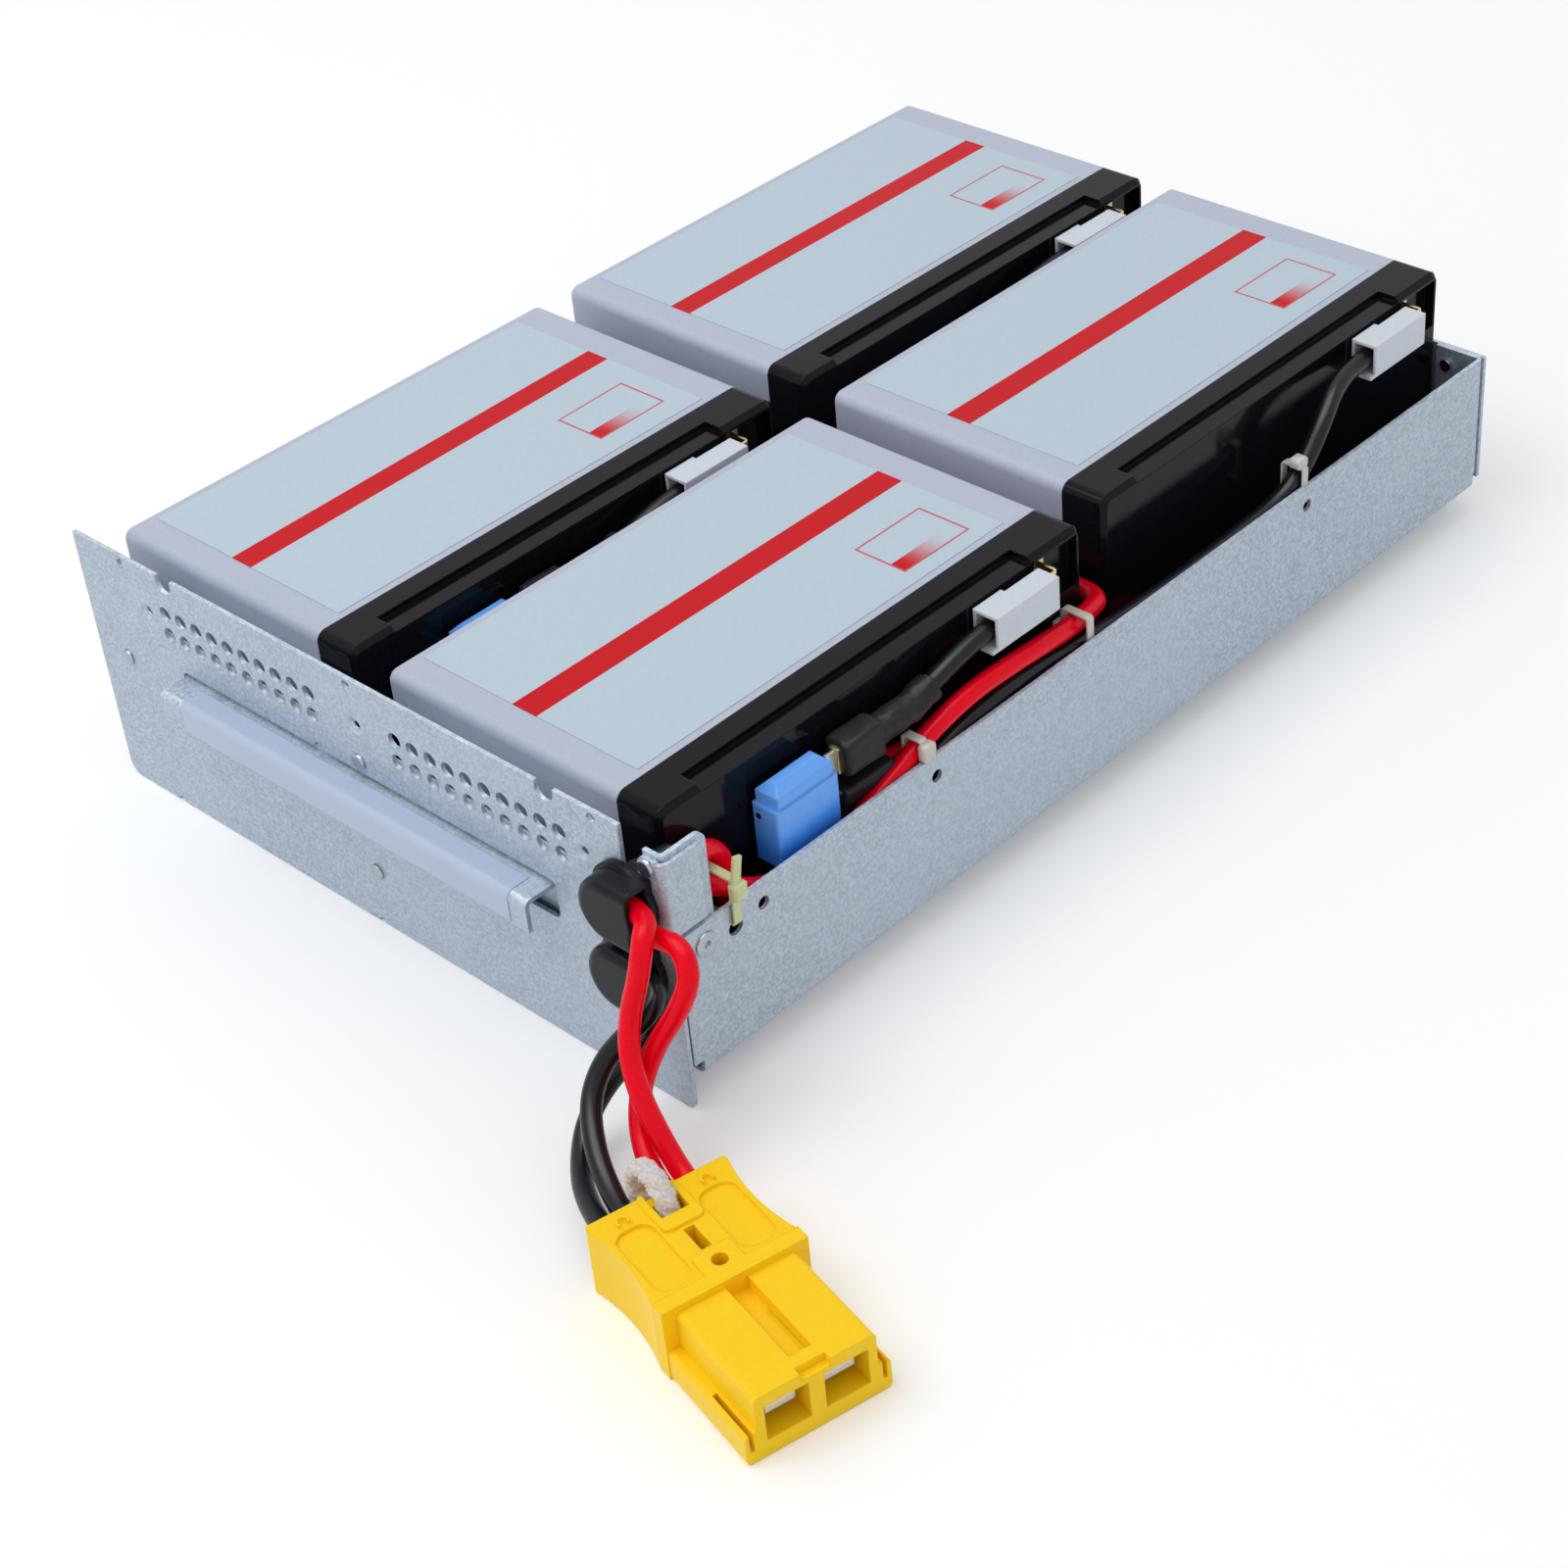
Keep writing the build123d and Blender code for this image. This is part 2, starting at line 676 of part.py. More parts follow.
def battery_lid(x, y):
    """The skirt is flush with the case. Between its end blocks the cap lies a little lower."""
    cap_start = case_reach + skirt_reach
    lid = lid_slab(x, y, case_reach, block_reach)
    outer_edges = lid.faces().sort_by(Axis.X)[-1].edges()
    lid = chamfer(outer_edges, cap_chamfer)
    middle_y = (y + front_end_block, y + block_length - rear_end_block)
    cap_x = (x + cap_start, x + block_reach + overrun)
    lid -= span_box(cap_x, middle_y, (block_top - cap_drop, block_top + overrun))
    lid -= span_box(cap_x, middle_y, (floor_top - overrun, floor_top + cap_drop))
    pocket_x = (x + block_reach - pocket_depth, x + block_reach + overrun)
    rear_pocket_y = (y + block_length - rear_end_block + pocket_rim / 2, y + block_length - pocket_rim)
    lid -= span_box(pocket_x, rear_pocket_y, (block_top - pocket_rim - pocket_high, block_top - pocket_rim))
    pocket_half = (rear_pocket_y[1] - rear_pocket_y[0]) / 2
    front_pocket_y = (y + terminal_inset - pocket_half, y + terminal_inset + pocket_half)
    lid -= span_box(pocket_x, front_pocket_y, (floor_top + pocket_rim, floor_top + pocket_rim + pocket_high))
    return lid


def tab_heights():
    """Centre heights of a block's rear tab, near its upper edge, and front tab, near its lower."""
    return block_top - terminal_edge, floor_top + terminal_edge


def terminals(x, y):
    face = x + block_reach
    root = face - pocket_depth
    upper_z, lower_z = tab_heights()
    tab_y = y + block_length - terminal_inset
    points = ((root, tab_y), (face + tab_rise, tab_y), (face + tab_rise, tab_y - tab_length))
    bent = along_z(folded(points, tab_bend, tab_thickness), upper_z - tab_width / 2, upper_z + tab_width / 2)
    foot = span_box((root, root + tab_thickness), (tab_y - tab_foot / 2, tab_y + tab_foot / 2),
                    (upper_z - tab_width / 2, upper_z + tab_width / 2))
    front_y = y + terminal_inset
    straight = span_box((root, face + straight_tab_rise),
                        (front_y - tab_thickness / 2, front_y + tab_thickness / 2),
                        (lower_z - tab_width / 2, lower_z + tab_width / 2))
    return Compound([bent + foot, straight])


def cover_places(y):
    """Front end, step and rear end of a lead cover, along y."""
    rear = y + block_length - terminal_inset - housing_end_gap
    front = rear - housing_length
    return front, front + housing_step_share * housing_length, rear


def lead_housing(x, y):
    """A milky cover over the crimp: open towards the front, slimmer on the lid's side behind."""
    face = x + block_reach
    upper_z = tab_heights()[0]
    front, step_y, rear = cover_places(y)
    low = upper_z - housing_high / 2
    high = upper_z + housing_high / 2
    near = face + housing_gap
    far = near + housing_wide
    outer = span_box((near, far), (front, step_y), (low, high))
    outer += span_box((near + housing_step, far), (step_y, rear), (low, high))
    inner = span_box((near + housing_wall, far - housing_wall), (front - overrun, step_y - housing_wall),
                     (low + housing_wall, high - housing_wall))
    inner += span_box((near + housing_step + housing_wall, far - housing_wall),
                      (front, rear - housing_wall), (low + housing_wall, high - housing_wall))
    tab_x = face + tab_rise
    slot = span_box((tab_x - tab_thickness, tab_x + tab_thickness), (step_y, rear + overrun),
                    (upper_z - tab_width / 2 - lead_clearance, upper_z + tab_width / 2 + lead_clearance))
    lip = span_box((near, far), (front - housing_lip, front), (low, low + housing_wall))
    return outer - inner - slot + lip


def receptacle(barrel_x=0):
    """A crimped receptacle. The tab enters at y 0 towards +y, the barrel follows behind it."""
    grip = span_box((-receptacle_thick / 2, receptacle_thick / 2), (0, receptacle_length),
                    (-receptacle_width / 2, receptacle_width / 2))
    half_slot = tab_thickness / 2 + crimp_clearance
    grip -= span_box((-half_slot, half_slot), (-overrun, receptacle_length),
                     (-tab_width / 2 - crimp_clearance, tab_width / 2 + crimp_clearance))
    barrel = rod_y(barrel_x, 0, receptacle_length, receptacle_length + barrel_length, barrel_radius)
    barrel -= rod_y(barrel_x, 0, crimp_depth(), receptacle_length + barrel_length + overrun,
                    lead_radius + crimp_clearance)
    return grip + barrel


def crimp_depth():
    """How far from a receptacle's mouth its lead begins."""
    return receptacle_length + tab_thickness


def plug_point(u, v, w):
    """A point given in the connector's own axes."""
    turn = radians(plug_heading)
    return (plug_x + u * cos(turn) - v * sin(turn), plug_y + u * sin(turn) + v * cos(turn), w)


def free_lead_points(route, socket_v):
    """A free lead's whole route, to the bottom of its socket."""
    return fitted(route) + [
        plug_point(plug_socket_deep - plug_approach, socket_v, plug_socket_w),
        plug_point(plug_socket_deep, socket_v, plug_socket_w),
    ]


def boot_lead_points(height):
    """The stretch of a lead inside its boot, from the mouth to the panel."""
    turn_x = boot_x - boot_lead_half_pitch
    return [
        (boot_lead_start_x, boot_lead_y, height),
        (turn_x, boot_lead_y, height),
        (turn_x + boot_hole_clearance, boot_lead_straight_y, height),
    ]


def boot(centre_z, routes):
    hood_flat = Circle(boot_hood_radius)
    hood_flat += Pos(boot_hood_right / 2, 0) * Rectangle(boot_hood_right, 2 * boot_hood_radius)
    hood = along_y(Pos(boot_x, centre_z) * hood_flat, -boot_hood_reach, 0)
    front_rim = hood.faces().sort_by(Axis.Y)[0].edges().filter_by(
        lambda edge: edge.center().X < boot_x + boot_hood_right - boot_hood_edge / 2)
    hood = fillet(front_rim, boot_hood_edge)
    disc = rod_y(boot_x, centre_z, -boot_disc_thick, 0, boot_disc_radius)
    neck = rod_y(boot_x, centre_z, 0, sheet, boot_hole_radius - boot_hole_clearance)
    lip = rod_y(boot_x, centre_z, sheet, sheet + boot_lip_thick, boot_lip_radius)
    start_flat = Circle(boot_hole_radius - boot_hole_clearance)
    end_flat = Ellipse(boot_sleeve_wide / 2, boot_sleeve_high / 2)
    start = Plane.XZ.offset(-sheet) * Pos(boot_x, centre_z) * start_flat
    end_place = Pos(boot_sleeve_end_x, centre_z + boot_sleeve_rise)
    end = Plane.XZ.offset(-boot_sleeve_end_y) * end_place * end_flat
    sleeve = loft([start.face(), end.face()])
    body = hood + disc + neck + lip + sleeve
    mouth_low = centre_z - boot_hood_radius + boot_mouth_wall
    mouth_high = centre_z + boot_hood_radius - boot_mouth_wall
    mouth = span_box((boot_x + boot_hood_right - boot_mouth_deep, boot_x + boot_hood_right + overrun),
                     (-boot_hood_reach + boot_mouth_wall, -boot_disc_thick), (mouth_low, mouth_high))
    body -= mouth
    for height, route in zip(boot_leads(centre_z), routes):
        body -= tube(boot_lead_points(height) + fitted(route[:2]), lead_radius + lead_clearance)
    return body


def plug_wire_end():
    """The waisted half that the leads enter, with the frame round the cord's notch and the collar."""
    half = plug_wide / 2
    waist_long = plug_wire_half - plug_collar
    waist_right = ThreePointArc((0, -half), (waist_long / 2, plug_waist - half), (waist_long, -half))
    waist_left = ThreePointArc((waist_long, half), (waist_long / 2, half - plug_waist), (0, half))
    outline = Wire([waist_right, Line((waist_long, -half), (waist_long, half)), waist_left,
                    Line((0, half), (0, -half))])
    body = along_z(make_face(outline), 0, plug_high)
    body = fillet(body.edges().filter_by(Axis.Z).sort_by(Axis.X)[:2], plug_edge)
    for v in (-recess_v, recess_v):
        recess = Pos(recess_u, v) * RectangleRounded(recess_long, recess_wide, recess_corner)
        body -= along_z(recess, plug_high - panel_recess, plug_high + overrun)
        body -= along_z(recess, -overrun, panel_recess)
    top = plug_high + plug_rim_high
    body += span_box((waist_long, plug_wire_half), (-half, half), (0, top))
    frame = RectangleRounded(cord_frame_long, cord_frame_wide, cord_frame_corner)
    body += along_z(Pos(cord_frame_long / 2, 0) * frame, plug_high - panel_recess, top)
    tab_flat = Pos(waist_long, 0) * RectangleRounded(2 * tab_long, tab_wide, tab_corner)
    tab = along_z(tab_flat, plug_high - panel_recess, top)
    body += tab & span_box((0, plug_wire_half), (-half, half), (0, 2 * top))
    tab_start = waist_long - tab_long
    body -= span_box((centre_slot_start, tab_start - centre_slot_gap),
                     (-centre_slot_wide / 2, centre_slot_wide / 2),
                     (plug_high - centre_slot_deep, top + overrun))
    hole_u = waist_long - tab_long / 3
    body -= along_z(Pos(hole_u, 0) * Circle(tab_hole_radius), top - tab_hole_deep, top + overrun)
    pocket = span_box((-overrun, loop_pocket_long), (-loop_pocket_half, loop_pocket_half),
                      (loop_pocket_floor, top + overrun))
    bar = span_box((bar_back - bar_thick, bar_back), (-loop_pocket_half, loop_pocket_half),
                   (plug_high - bar_high, plug_high))
    return body - pocket + bar


def plug_mating_end():
    """The narrower half that enters the other connector, with a wider flange along its foot."""
    half = plug_wide / 2 - plug_mate_inset
    top = plug_high - plug_mate_drop
    body = span_box((plug_wire_half, plug_long), (-half, half), (0, top))
    body = fillet(body.edges().filter_by(Axis.X).sort_by(Axis.Z)[-2:], plug_edge)
    flange_half = plug_wide / 2 - flange_inset
    flange = span_box((plug_wire_half, plug_long), (-flange_half, flange_half), (0, flange_high))
    body += fillet(flange.edges().filter_by(Axis.X), plug_edge)
    slot_v = (half + flange_half) / 2
    for v in (-slot_v, slot_v):
        body -= span_box((plug_long - flange_slot_long, plug_long + overrun),
                         (v - flange_slot_wide / 2, v + flange_slot_wide / 2),
                         (flange_high - flange_slot_deep, flange_high + overrun))
    body -= span_box((plug_wire_half, plug_long - key_slot_stop), (-key_slot_wide / 2, key_slot_wide / 2),
                     (top - key_slot_deep, top + overrun))
    body -= span_box((plug_long - end_notch_long, plug_long + overrun),
                     (-end_notch_wide / 2, end_notch_wide / 2), (top - end_notch_deep, top + overrun))
    return body


def plug_housing():
    """The connector's housing, built in its own axes and then turned into place."""
    body = plug_wire_end() + plug_mating_end()
    middle_w = plug_high / 2
    for v in (-mouth_v, mouth_v):
        mouth = (v - mouth_wide / 2, v + mouth_wide / 2)
        body -= span_box((plug_long - mouth_deep, plug_long + overrun), mouth,
                         (middle_w - mouth_high / 2, middle_w + mouth_high / 2))
    for v in plug_socket_v:
        body -= along_x(Pos(v, plug_socket_w) * Circle(plug_socket_radius), -overrun, plug_socket_deep)
    return seat_plug(body)


def seat_plug(shape):
    return Pos(plug_x, plug_y, 0) * Rot(0, 0, plug_heading) * shape


def plug_contacts():
    """Two flat contacts, rooted in the housing behind their mouths."""
    root_u = plug_long - mouth_deep
    blades = []
    for side in (-1, 1):
        low = side * mouth_v - contact_wide / 2
        blade = span_box((root_u, root_u + contact_long), (low, low + contact_wide),
                         (plug_high / 2 - contact_thick / 2, plug_high / 2 + contact_thick / 2))
        nose = blade.edges().filter_by(Axis.Y).sort_by(Axis.X)[-2:]
        blades.append(seat_plug(chamfer(nose, contact_thick / 4)))
    return Compound(blades)


def cotton_loop():
    ring = Torus(loop_radius, loop_thread)
    return seat_plug(Pos(loop_u, 0, loop_w) * Rot(90, 0, 0) * ring)


def fuse_body(x, y):
    face = x + block_reach
    body = span_box((face + fuse_offset - fuse_thick / 2, face + fuse_offset + fuse_thick / 2),
                    (y + fuse_front, y + fuse_front + fuse_long), (fuse_low, fuse_cap_low))
    body = fillet(body.edges().filter_by(Axis.Z), fuse_edge)
    half_cap = fuse_thick / 2 - fuse_cap_inset
    cap = span_box((face + fuse_offset - half_cap, face + fuse_offset + half_cap),
                   (y + fuse_front + fuse_cap_setback, y + fuse_front + fuse_long - fuse_cap_setback),
                   (fuse_cap_low, fuse_high))
    cap = chamfer(cap.faces().sort_by(Axis.Z)[-1].edges(), fuse_chamfer)
    return body + cap


def fuse_blades(x, y):
    face = x + block_reach
    root = y + fuse_front + fuse_long
    blades = []
    for z in (blade_upper_z, blade_lower_z):
        blades.append(span_box(
            (face + fuse_offset - tab_thickness / 2, face + fuse_offset + tab_thickness / 2),
            (root, root + blade_long), (z - tab_width / 2, z + tab_width / 2)))
    return Compound(blades)


def fuse_clip_y(y):
    return y + fuse_front + fuse_long + blade_show


def fuse_clips(x, y):
    """Two receptacles on the fuse's blades. The lower one's barrel is set over towards the lid."""
    centre_x = x + block_reach + fuse_offset
    upper = Pos(centre_x, fuse_clip_y(y), blade_upper_z) * receptacle()
    lower = Pos(centre_x, fuse_clip_y(y), blade_lower_z) * receptacle(-lower_barrel_shift)
    return Compound([upper, lower])


def rear_clip_y(y):
    """The mouth of the receptacle on a block's rear tab."""
    return cover_places(y)[1] - housing_wall - lead_clearance + receptacle_length


def rear_clip(x, y):
    place = Pos(x + block_reach + tab_rise, rear_clip_y(y), tab_heights()[0])
    return place * Rot(0, 0, 180) * receptacle()


def front_clip(x, y):
    """A flag receptacle on a block's front tab, with its barrel pointing up."""
    face = x + block_reach
    tab_y = y + terminal_inset
    low_z = tab_heights()[1]
    half = receptacle_thick / 2
    top = low_z + receptacle_width / 2
    grip = span_box((face + flag_inset, face + straight_tab_rise), (tab_y - half, tab_y + half),
                    (low_z - receptacle_width / 2, top))
    half_slot = tab_thickness / 2 + crimp_clearance
    grip -= span_box((face, face + straight_tab_rise), (tab_y - half_slot, tab_y + half_slot),
                     (low_z - tab_width / 2 - crimp_clearance, low_z + tab_width / 2 + crimp_clearance))
    place = Pos(face + flag_barrel_offset, tab_y)
    barrel = along_z(place * Circle(barrel_radius), top, top + barrel_length)
    bore = place * Circle(lead_radius + crimp_clearance)
    barrel -= along_z(bore, top + tab_thickness, top + 2 * barrel_length)
    return grip + barrel


def front_crimp(x, y):
    """The end of the lead in a front receptacle, and the point straight above it."""
    top = tab_heights()[1] + receptacle_width / 2
    low = (x + block_reach + flag_barrel_offset, y + terminal_inset, top + tab_thickness)
    return [(low[0], low[1], low[2] + 2 * barrel_length), low]


def rear_crimp(x, y):
    """The end of the lead in a rear receptacle, and the point straight before it."""
    end = (x + block_reach + tab_rise, rear_clip_y(y) - crimp_depth(), tab_heights()[0])
    return [(end[0], end[1] - 2 * barrel_length, end[2]), end]


def jumper_points(x, y):
    """The lead from the fuse's upper blade to the front block's rear tab."""
    blade_x = x + block_reach + fuse_offset
    start_y = fuse_clip_y(y) + crimp_depth()
    stop = rear_crimp(x, y)
    return [
        (blade_x, start_y, blade_upper_z),
        (blade_x, start_y + 2 * barrel_length, blade_upper_z),
    ] + stop


def link_points(x, y, rear_x, rear_y):
    """The lead from the fuse's lower blade to the rear block's front tab, low in the channel."""
    lead_x = x + block_reach + fuse_offset - lower_barrel_shift
    run_x = x + block_reach + lead_radius + lead_clearance / 3
    start_y = fuse_clip_y(y) + crimp_depth()
    stop = front_crimp(rear_x, rear_y)
    turn_z = stop[0][2]
    reach = stop[0][1] - start_y
    drop = blade_lower_z - turn_z
    return [
        (lead_x, start_y, blade_lower_z),
        (lead_x, start_y + barrel_length, blade_lower_z),
        (run_x, start_y + link_shares[0] * reach, blade_lower_z - link_shares[1] * drop),
        (run_x, start_y + link_shares[2] * reach, turn_z + link_shares[3] * drop),
        (lead_x, start_y + link_shares[4] * reach, turn_z - link_shares[5] * drop),
        (stop[0][0], stop[0][1] - barrel_length, turn_z),
    ] + stop


def shrink_sleeve(x, y):
    """A flat sleeve over the fuse's upper receptacle, which narrows to the lead behind it."""
    centre_x = x + block_reach + fuse_offset
    clip_y = fuse_clip_y(y)
    barrel_y = clip_y + receptacle_length
    half_thick = receptacle_thick / 2
    half_wide = receptacle_width / 2
    body = span_box((centre_x - half_thick - shrink_wall, centre_x + half_thick + shrink_wall),
                    (clip_y + shrink_setback, barrel_y + shrink_wall),
                    (blade_upper_z - half_wide - shrink_wall, blade_upper_z + half_wide + shrink_wall))
    body = fillet(body.edges().filter_by(Axis.Y), shrink_wall)
    half_bore = half_wide + crimp_clearance
    lead = jumper_points(x, y)
    corner = Vector(*lead[1])
    onward = (Vector(*lead[2]) - corner).normalized() * shrink_reach
    end = corner + onward
    start = (centre_x, barrel_y, blade_upper_z)
    body += tube([start, lead[1], (end.X, end.Y, end.Z)], barrel_radius + shrink_wall)
    body -= span_box((centre_x - half_thick - crimp_clearance, centre_x + half_thick + crimp_clearance),
                     (clip_y, barrel_y + crimp_clearance),
                     (blade_upper_z - half_bore, blade_upper_z + half_bore))
    body -= rod_y(centre_x, blade_upper_z, clip_y, barrel_y + barrel_length + crimp_clearance,
                  barrel_radius + crimp_clearance)
    return body - tube(lead, lead_radius + crimp_clearance)


def tie(x, z, y, head_x, head_z, upright):
    """A strap round the inside given in x and z, with its head centred at head_x and head_z."""
    middle = Pos((x[0] + x[1]) / 2, (z[0] + z[1]) / 2)
    inside = RectangleRounded(x[1] - x[0], z[1] - z[0], strap_corner)
    outside = RectangleRounded(x[1] - x[0] + 2 * strap_thick, z[1] - z[0] + 2 * strap_thick,
                               strap_corner + strap_thick)
    strap = along_y(middle * outside - middle * inside, y - strap_wide / 2, y + strap_wide / 2)
    half_x = tie_head_high / 2 if upright else tie_head_long / 2
    half_z = tie_head_long / 2 if upright else tie_head_high / 2
    head = span_box((head_x - half_x, head_x + half_x), (y - tie_head_wide / 2, y + tie_head_wide / 2),
                    (head_z - half_z, head_z + half_z))
    return strap + chamfer(head.edges(), strap_thick)


def tie_beside(x, z, y, head_z):
    """A tie whose head stands on the outer upright of its strap."""
    return tie(x, z, y, x[1] + tie_head_high / 2, head_z, True)


def white_ties():
    half_long = tie_head_long / 2
    bundle = tie_beside(bundle_tie_x, bundle_tie_z, bundle_tie_y, wall_top + half_long + lead_clearance)
    gap_y = gap_tie_share * tray_depth
    gap_head_z = sum(gap_tie_z) / 2
    across_gap = tie(gap_tie_x, gap_tie_z, gap_y, gap_tie_x[0] - tie_head_high / 2, gap_head_z, True)
    rear_top = rear_tie_z[1] + tie_head_high / 2
    rear = tie(rear_tie_x, rear_tie_z, wall_hole_y[2], rear_tie_x[1] - half_long, rear_top, False)
    return Compound([bundle, across_gap, rear])


def yellow_tie():
    return tie_beside(yellow_tie_x, yellow_tie_z, yellow_tie_y, yellow_tie_z[1] - tie_head_long / 2)


def place_and_export(name, shape):
    """Write one piece with y counted from the middle of the cartridge's depth."""
    front = -handle_reach - sticker_thickness
    rear = tray_depth + wall_rivet_head_high
    placed = Pos(0, -(front + rear) / 2, 0) * shape
    export_step(placed, f"parts/{name}.step")


def export_blocks():
    for row, row_name in enumerate(("front", "rear")):
        for column, side in enumerate(("left", "right")):
            x, y = block_corner(row, column)
            name = f"{row_name}_{side}"
            place_and_export(f"case_{name}", battery_case(x, y))
            place_and_export(f"lid_{name}", battery_lid(x, y))
            place_and_export(f"terminals_{name}", terminals(x, y))
            place_and_export(f"lead_cover_{name}", lead_housing(x, y))
            place_and_export(f"clips_{name}", Compound([rear_clip(x, y), front_clip(x, y)]))
            label_x = x + label_side_margin
            label_y = y + label_front_margin
            label = span_box((label_x, label_x + label_width), (label_y, label_y + label_length),
                             (block_top, block_top + label_thickness))
            place_and_export(f"label_{name}", label)


def main():
    os.makedirs("parts", exist_ok=True)
    place_and_export("tray", tray())
    place_and_export("front_panel", front_panel())
    place_and_export("handle_plate", handle_plate())
    place_and_export("handle_sticker", handle_sticker())
    place_and_export("corner_bracket", corner_bracket())
    place_and_export("panel_rivets", panel_rivets())
    place_and_export("ear_rivet", front_rivet(ear_rivet_x, ear_rivet_z, ear_rivet_head, plate_back))
    place_and_export("wall_rivet", wall_rivet())
    place_and_export("rear_rivets", rear_rivets())
    export_blocks()
    boots = (
        ("boot_upper", (right_red_route, left_red_route)),
        ("boot_lower", (right_black_route, left_black_route)),
    )
    for (name, routes), centre_z in zip(boots, boot_centres()):
        place_and_export(name, boot(centre_z, routes))
    place_and_export("connector", plug_housing())
    place_and_export("connector_contacts", plug_contacts())
    place_and_export("cotton_loop", cotton_loop())
    place_and_export("cable_ties", white_ties())
    place_and_export("yellow_tie", yellow_tie())
    sleeves = [shrink_sleeve(*block_corner(0, column)) for column in (0, 1)]
    place_and_export("heat_shrinks", Compound(sleeves))
    for column, side in enumerate(("left", "right")):
        x, y = block_corner(0, column)
        place_and_export(f"fuse_{side}", fuse_body(x, y))
        place_and_export(f"fuse_blades_{side}", fuse_blades(x, y))
        place_and_export(f"fuse_clips_{side}", fuse_clips(x, y))
        place_and_export(f"jumper_lead_{side}", tube(jumper_points(x, y), lead_radius))
        link = link_points(x, y, *block_corner(1, column))
        place_and_export(f"link_lead_{side}", tube(link, lead_radius))
    upper_leads = boot_leads(boot_upper_z)
    lower_leads = boot_leads(boot_upper_z - boot_pitch)
    held_leads = (
        ("red_lead_right", upper_leads[0], right_red_route, front_crimp(*block_corner(0, 1))[1:]),
        ("red_lead_left", upper_leads[1], left_red_route, front_crimp(*block_corner(0, 0))),
        ("black_lead_right", lower_leads[0], right_black_route, rear_crimp(*block_corner(1, 1))),
        ("black_lead_left", lower_leads[1], left_black_route, rear_crimp(*block_corner(1, 0))),
    )
    for name, height, route, end in held_leads:
        points = boot_lead_points(height) + fitted(route) + end
        print(name, "length", round(lead_path(points).length, 1))
        place_and_export(name, tube(points, lead_radius))
    free_leads = (
        ("lead_red_upper", red_upper_route, plug_socket_v[3]),
        ("lead_red_lower", red_lower_route, plug_socket_v[2]),
        ("lead_black_upper", black_upper_route, plug_socket_v[1]),
        ("lead_black_lower", black_lower_route, plug_socket_v[0]),
    )
    for name, route, socket_v in free_leads:
        points = free_lead_points(route, socket_v)
        radii = [round(radius, 1) for radius in arc_radii(points)]
        print(name, "length", round(lead_path(points).length, 1), "radii", radii)
        place_and_export(name, tube(points, lead_radius))


if __name__ == "__main__":
    main()
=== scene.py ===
"""A UPS battery cartridge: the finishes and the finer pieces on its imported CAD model."""

import math

import bpy
from bpy.props import FloatProperty, FloatVectorProperty, PointerProperty
from mathutils import Matrix, Vector, noise


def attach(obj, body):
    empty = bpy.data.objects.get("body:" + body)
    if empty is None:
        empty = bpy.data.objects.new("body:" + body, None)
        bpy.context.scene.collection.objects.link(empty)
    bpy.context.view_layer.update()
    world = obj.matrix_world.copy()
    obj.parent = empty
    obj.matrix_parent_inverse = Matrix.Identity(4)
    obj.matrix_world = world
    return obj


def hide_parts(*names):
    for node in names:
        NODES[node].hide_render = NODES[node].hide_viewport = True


bl_info = {
    "name": "UPS battery cartridge",
    "version": (1, 0, 0),
    "blender": (4, 5, 0),
    "location": "3D View > Sidebar > Cartridge",
    "description": "Leads, sleeves, pull loop, finishes and stage of a battery cartridge",
    "category": "Object",
}

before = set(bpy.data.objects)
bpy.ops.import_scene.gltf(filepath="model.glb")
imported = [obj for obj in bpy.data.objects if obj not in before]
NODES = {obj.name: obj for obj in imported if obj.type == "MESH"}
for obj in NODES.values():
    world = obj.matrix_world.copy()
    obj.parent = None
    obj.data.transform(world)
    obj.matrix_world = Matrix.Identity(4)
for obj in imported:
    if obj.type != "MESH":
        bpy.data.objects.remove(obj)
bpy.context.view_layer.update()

# Every place and size here is in metres, in the frame of the CAD model.
# Routes of the leads, as the CAD model has them.
lead_red_upper_route = [
    (0.10050, -0.16437, 0.06090), (0.10700, -0.16437, 0.06090), (0.11140, -0.17018, 0.06020),
    (0.11220, -0.17338, 0.05200), (0.11020, -0.17567, 0.04200), (0.11190, -0.17918, 0.03320),
    (0.11740, -0.18208, 0.02560), (0.12310, -0.18297, 0.01840), (0.12920, -0.18377, 0.01220),
    (0.13582, -0.18502, 0.00950), (0.14351, -0.18683, 0.00950),
]
lead_red_lower_route = [
    (0.10050, -0.16437, 0.05550), (0.10860, -0.16437, 0.05550), (0.11660, -0.16378, 0.05660),
    (0.12120, -0.16618, 0.05140), (0.11870, -0.16858, 0.04240), (0.11360, -0.17258, 0.03200),
    (0.11250, -0.17778, 0.02220), (0.11680, -0.18338, 0.01520), (0.12440, -0.18777, 0.01080),
    (0.13451, -0.19056, 0.00950), (0.14220, -0.19238, 0.00950),
]
lead_black_upper_route = [
    (0.10050, -0.16437, 0.04090), (0.10720, -0.16437, 0.04090), (0.11040, -0.16937, 0.03820),
    (0.10640, -0.17438, 0.03220), (0.10330, -0.18008, 0.02640), (0.10500, -0.18688, 0.02020),
    (0.11220, -0.19307, 0.01460), (0.12060, -0.19737, 0.01090), (0.13184, -0.20185, 0.00950),
    (0.13953, -0.20367, 0.00950),
]
lead_black_lower_route = [
    (0.10050, -0.16437, 0.03550), (0.10700, -0.16437, 0.03550), (0.10980, -0.16797, 0.03040),
    (0.10460, -0.17068, 0.02340), (0.09900, -0.17567, 0.01520), (0.09900, -0.18418, 0.00840),
    (0.10570, -0.19287, 0.00540), (0.11490, -0.20007, 0.00620), (0.13053, -0.20740, 0.00950),
    (0.13822, -0.20922, 0.00950),
]
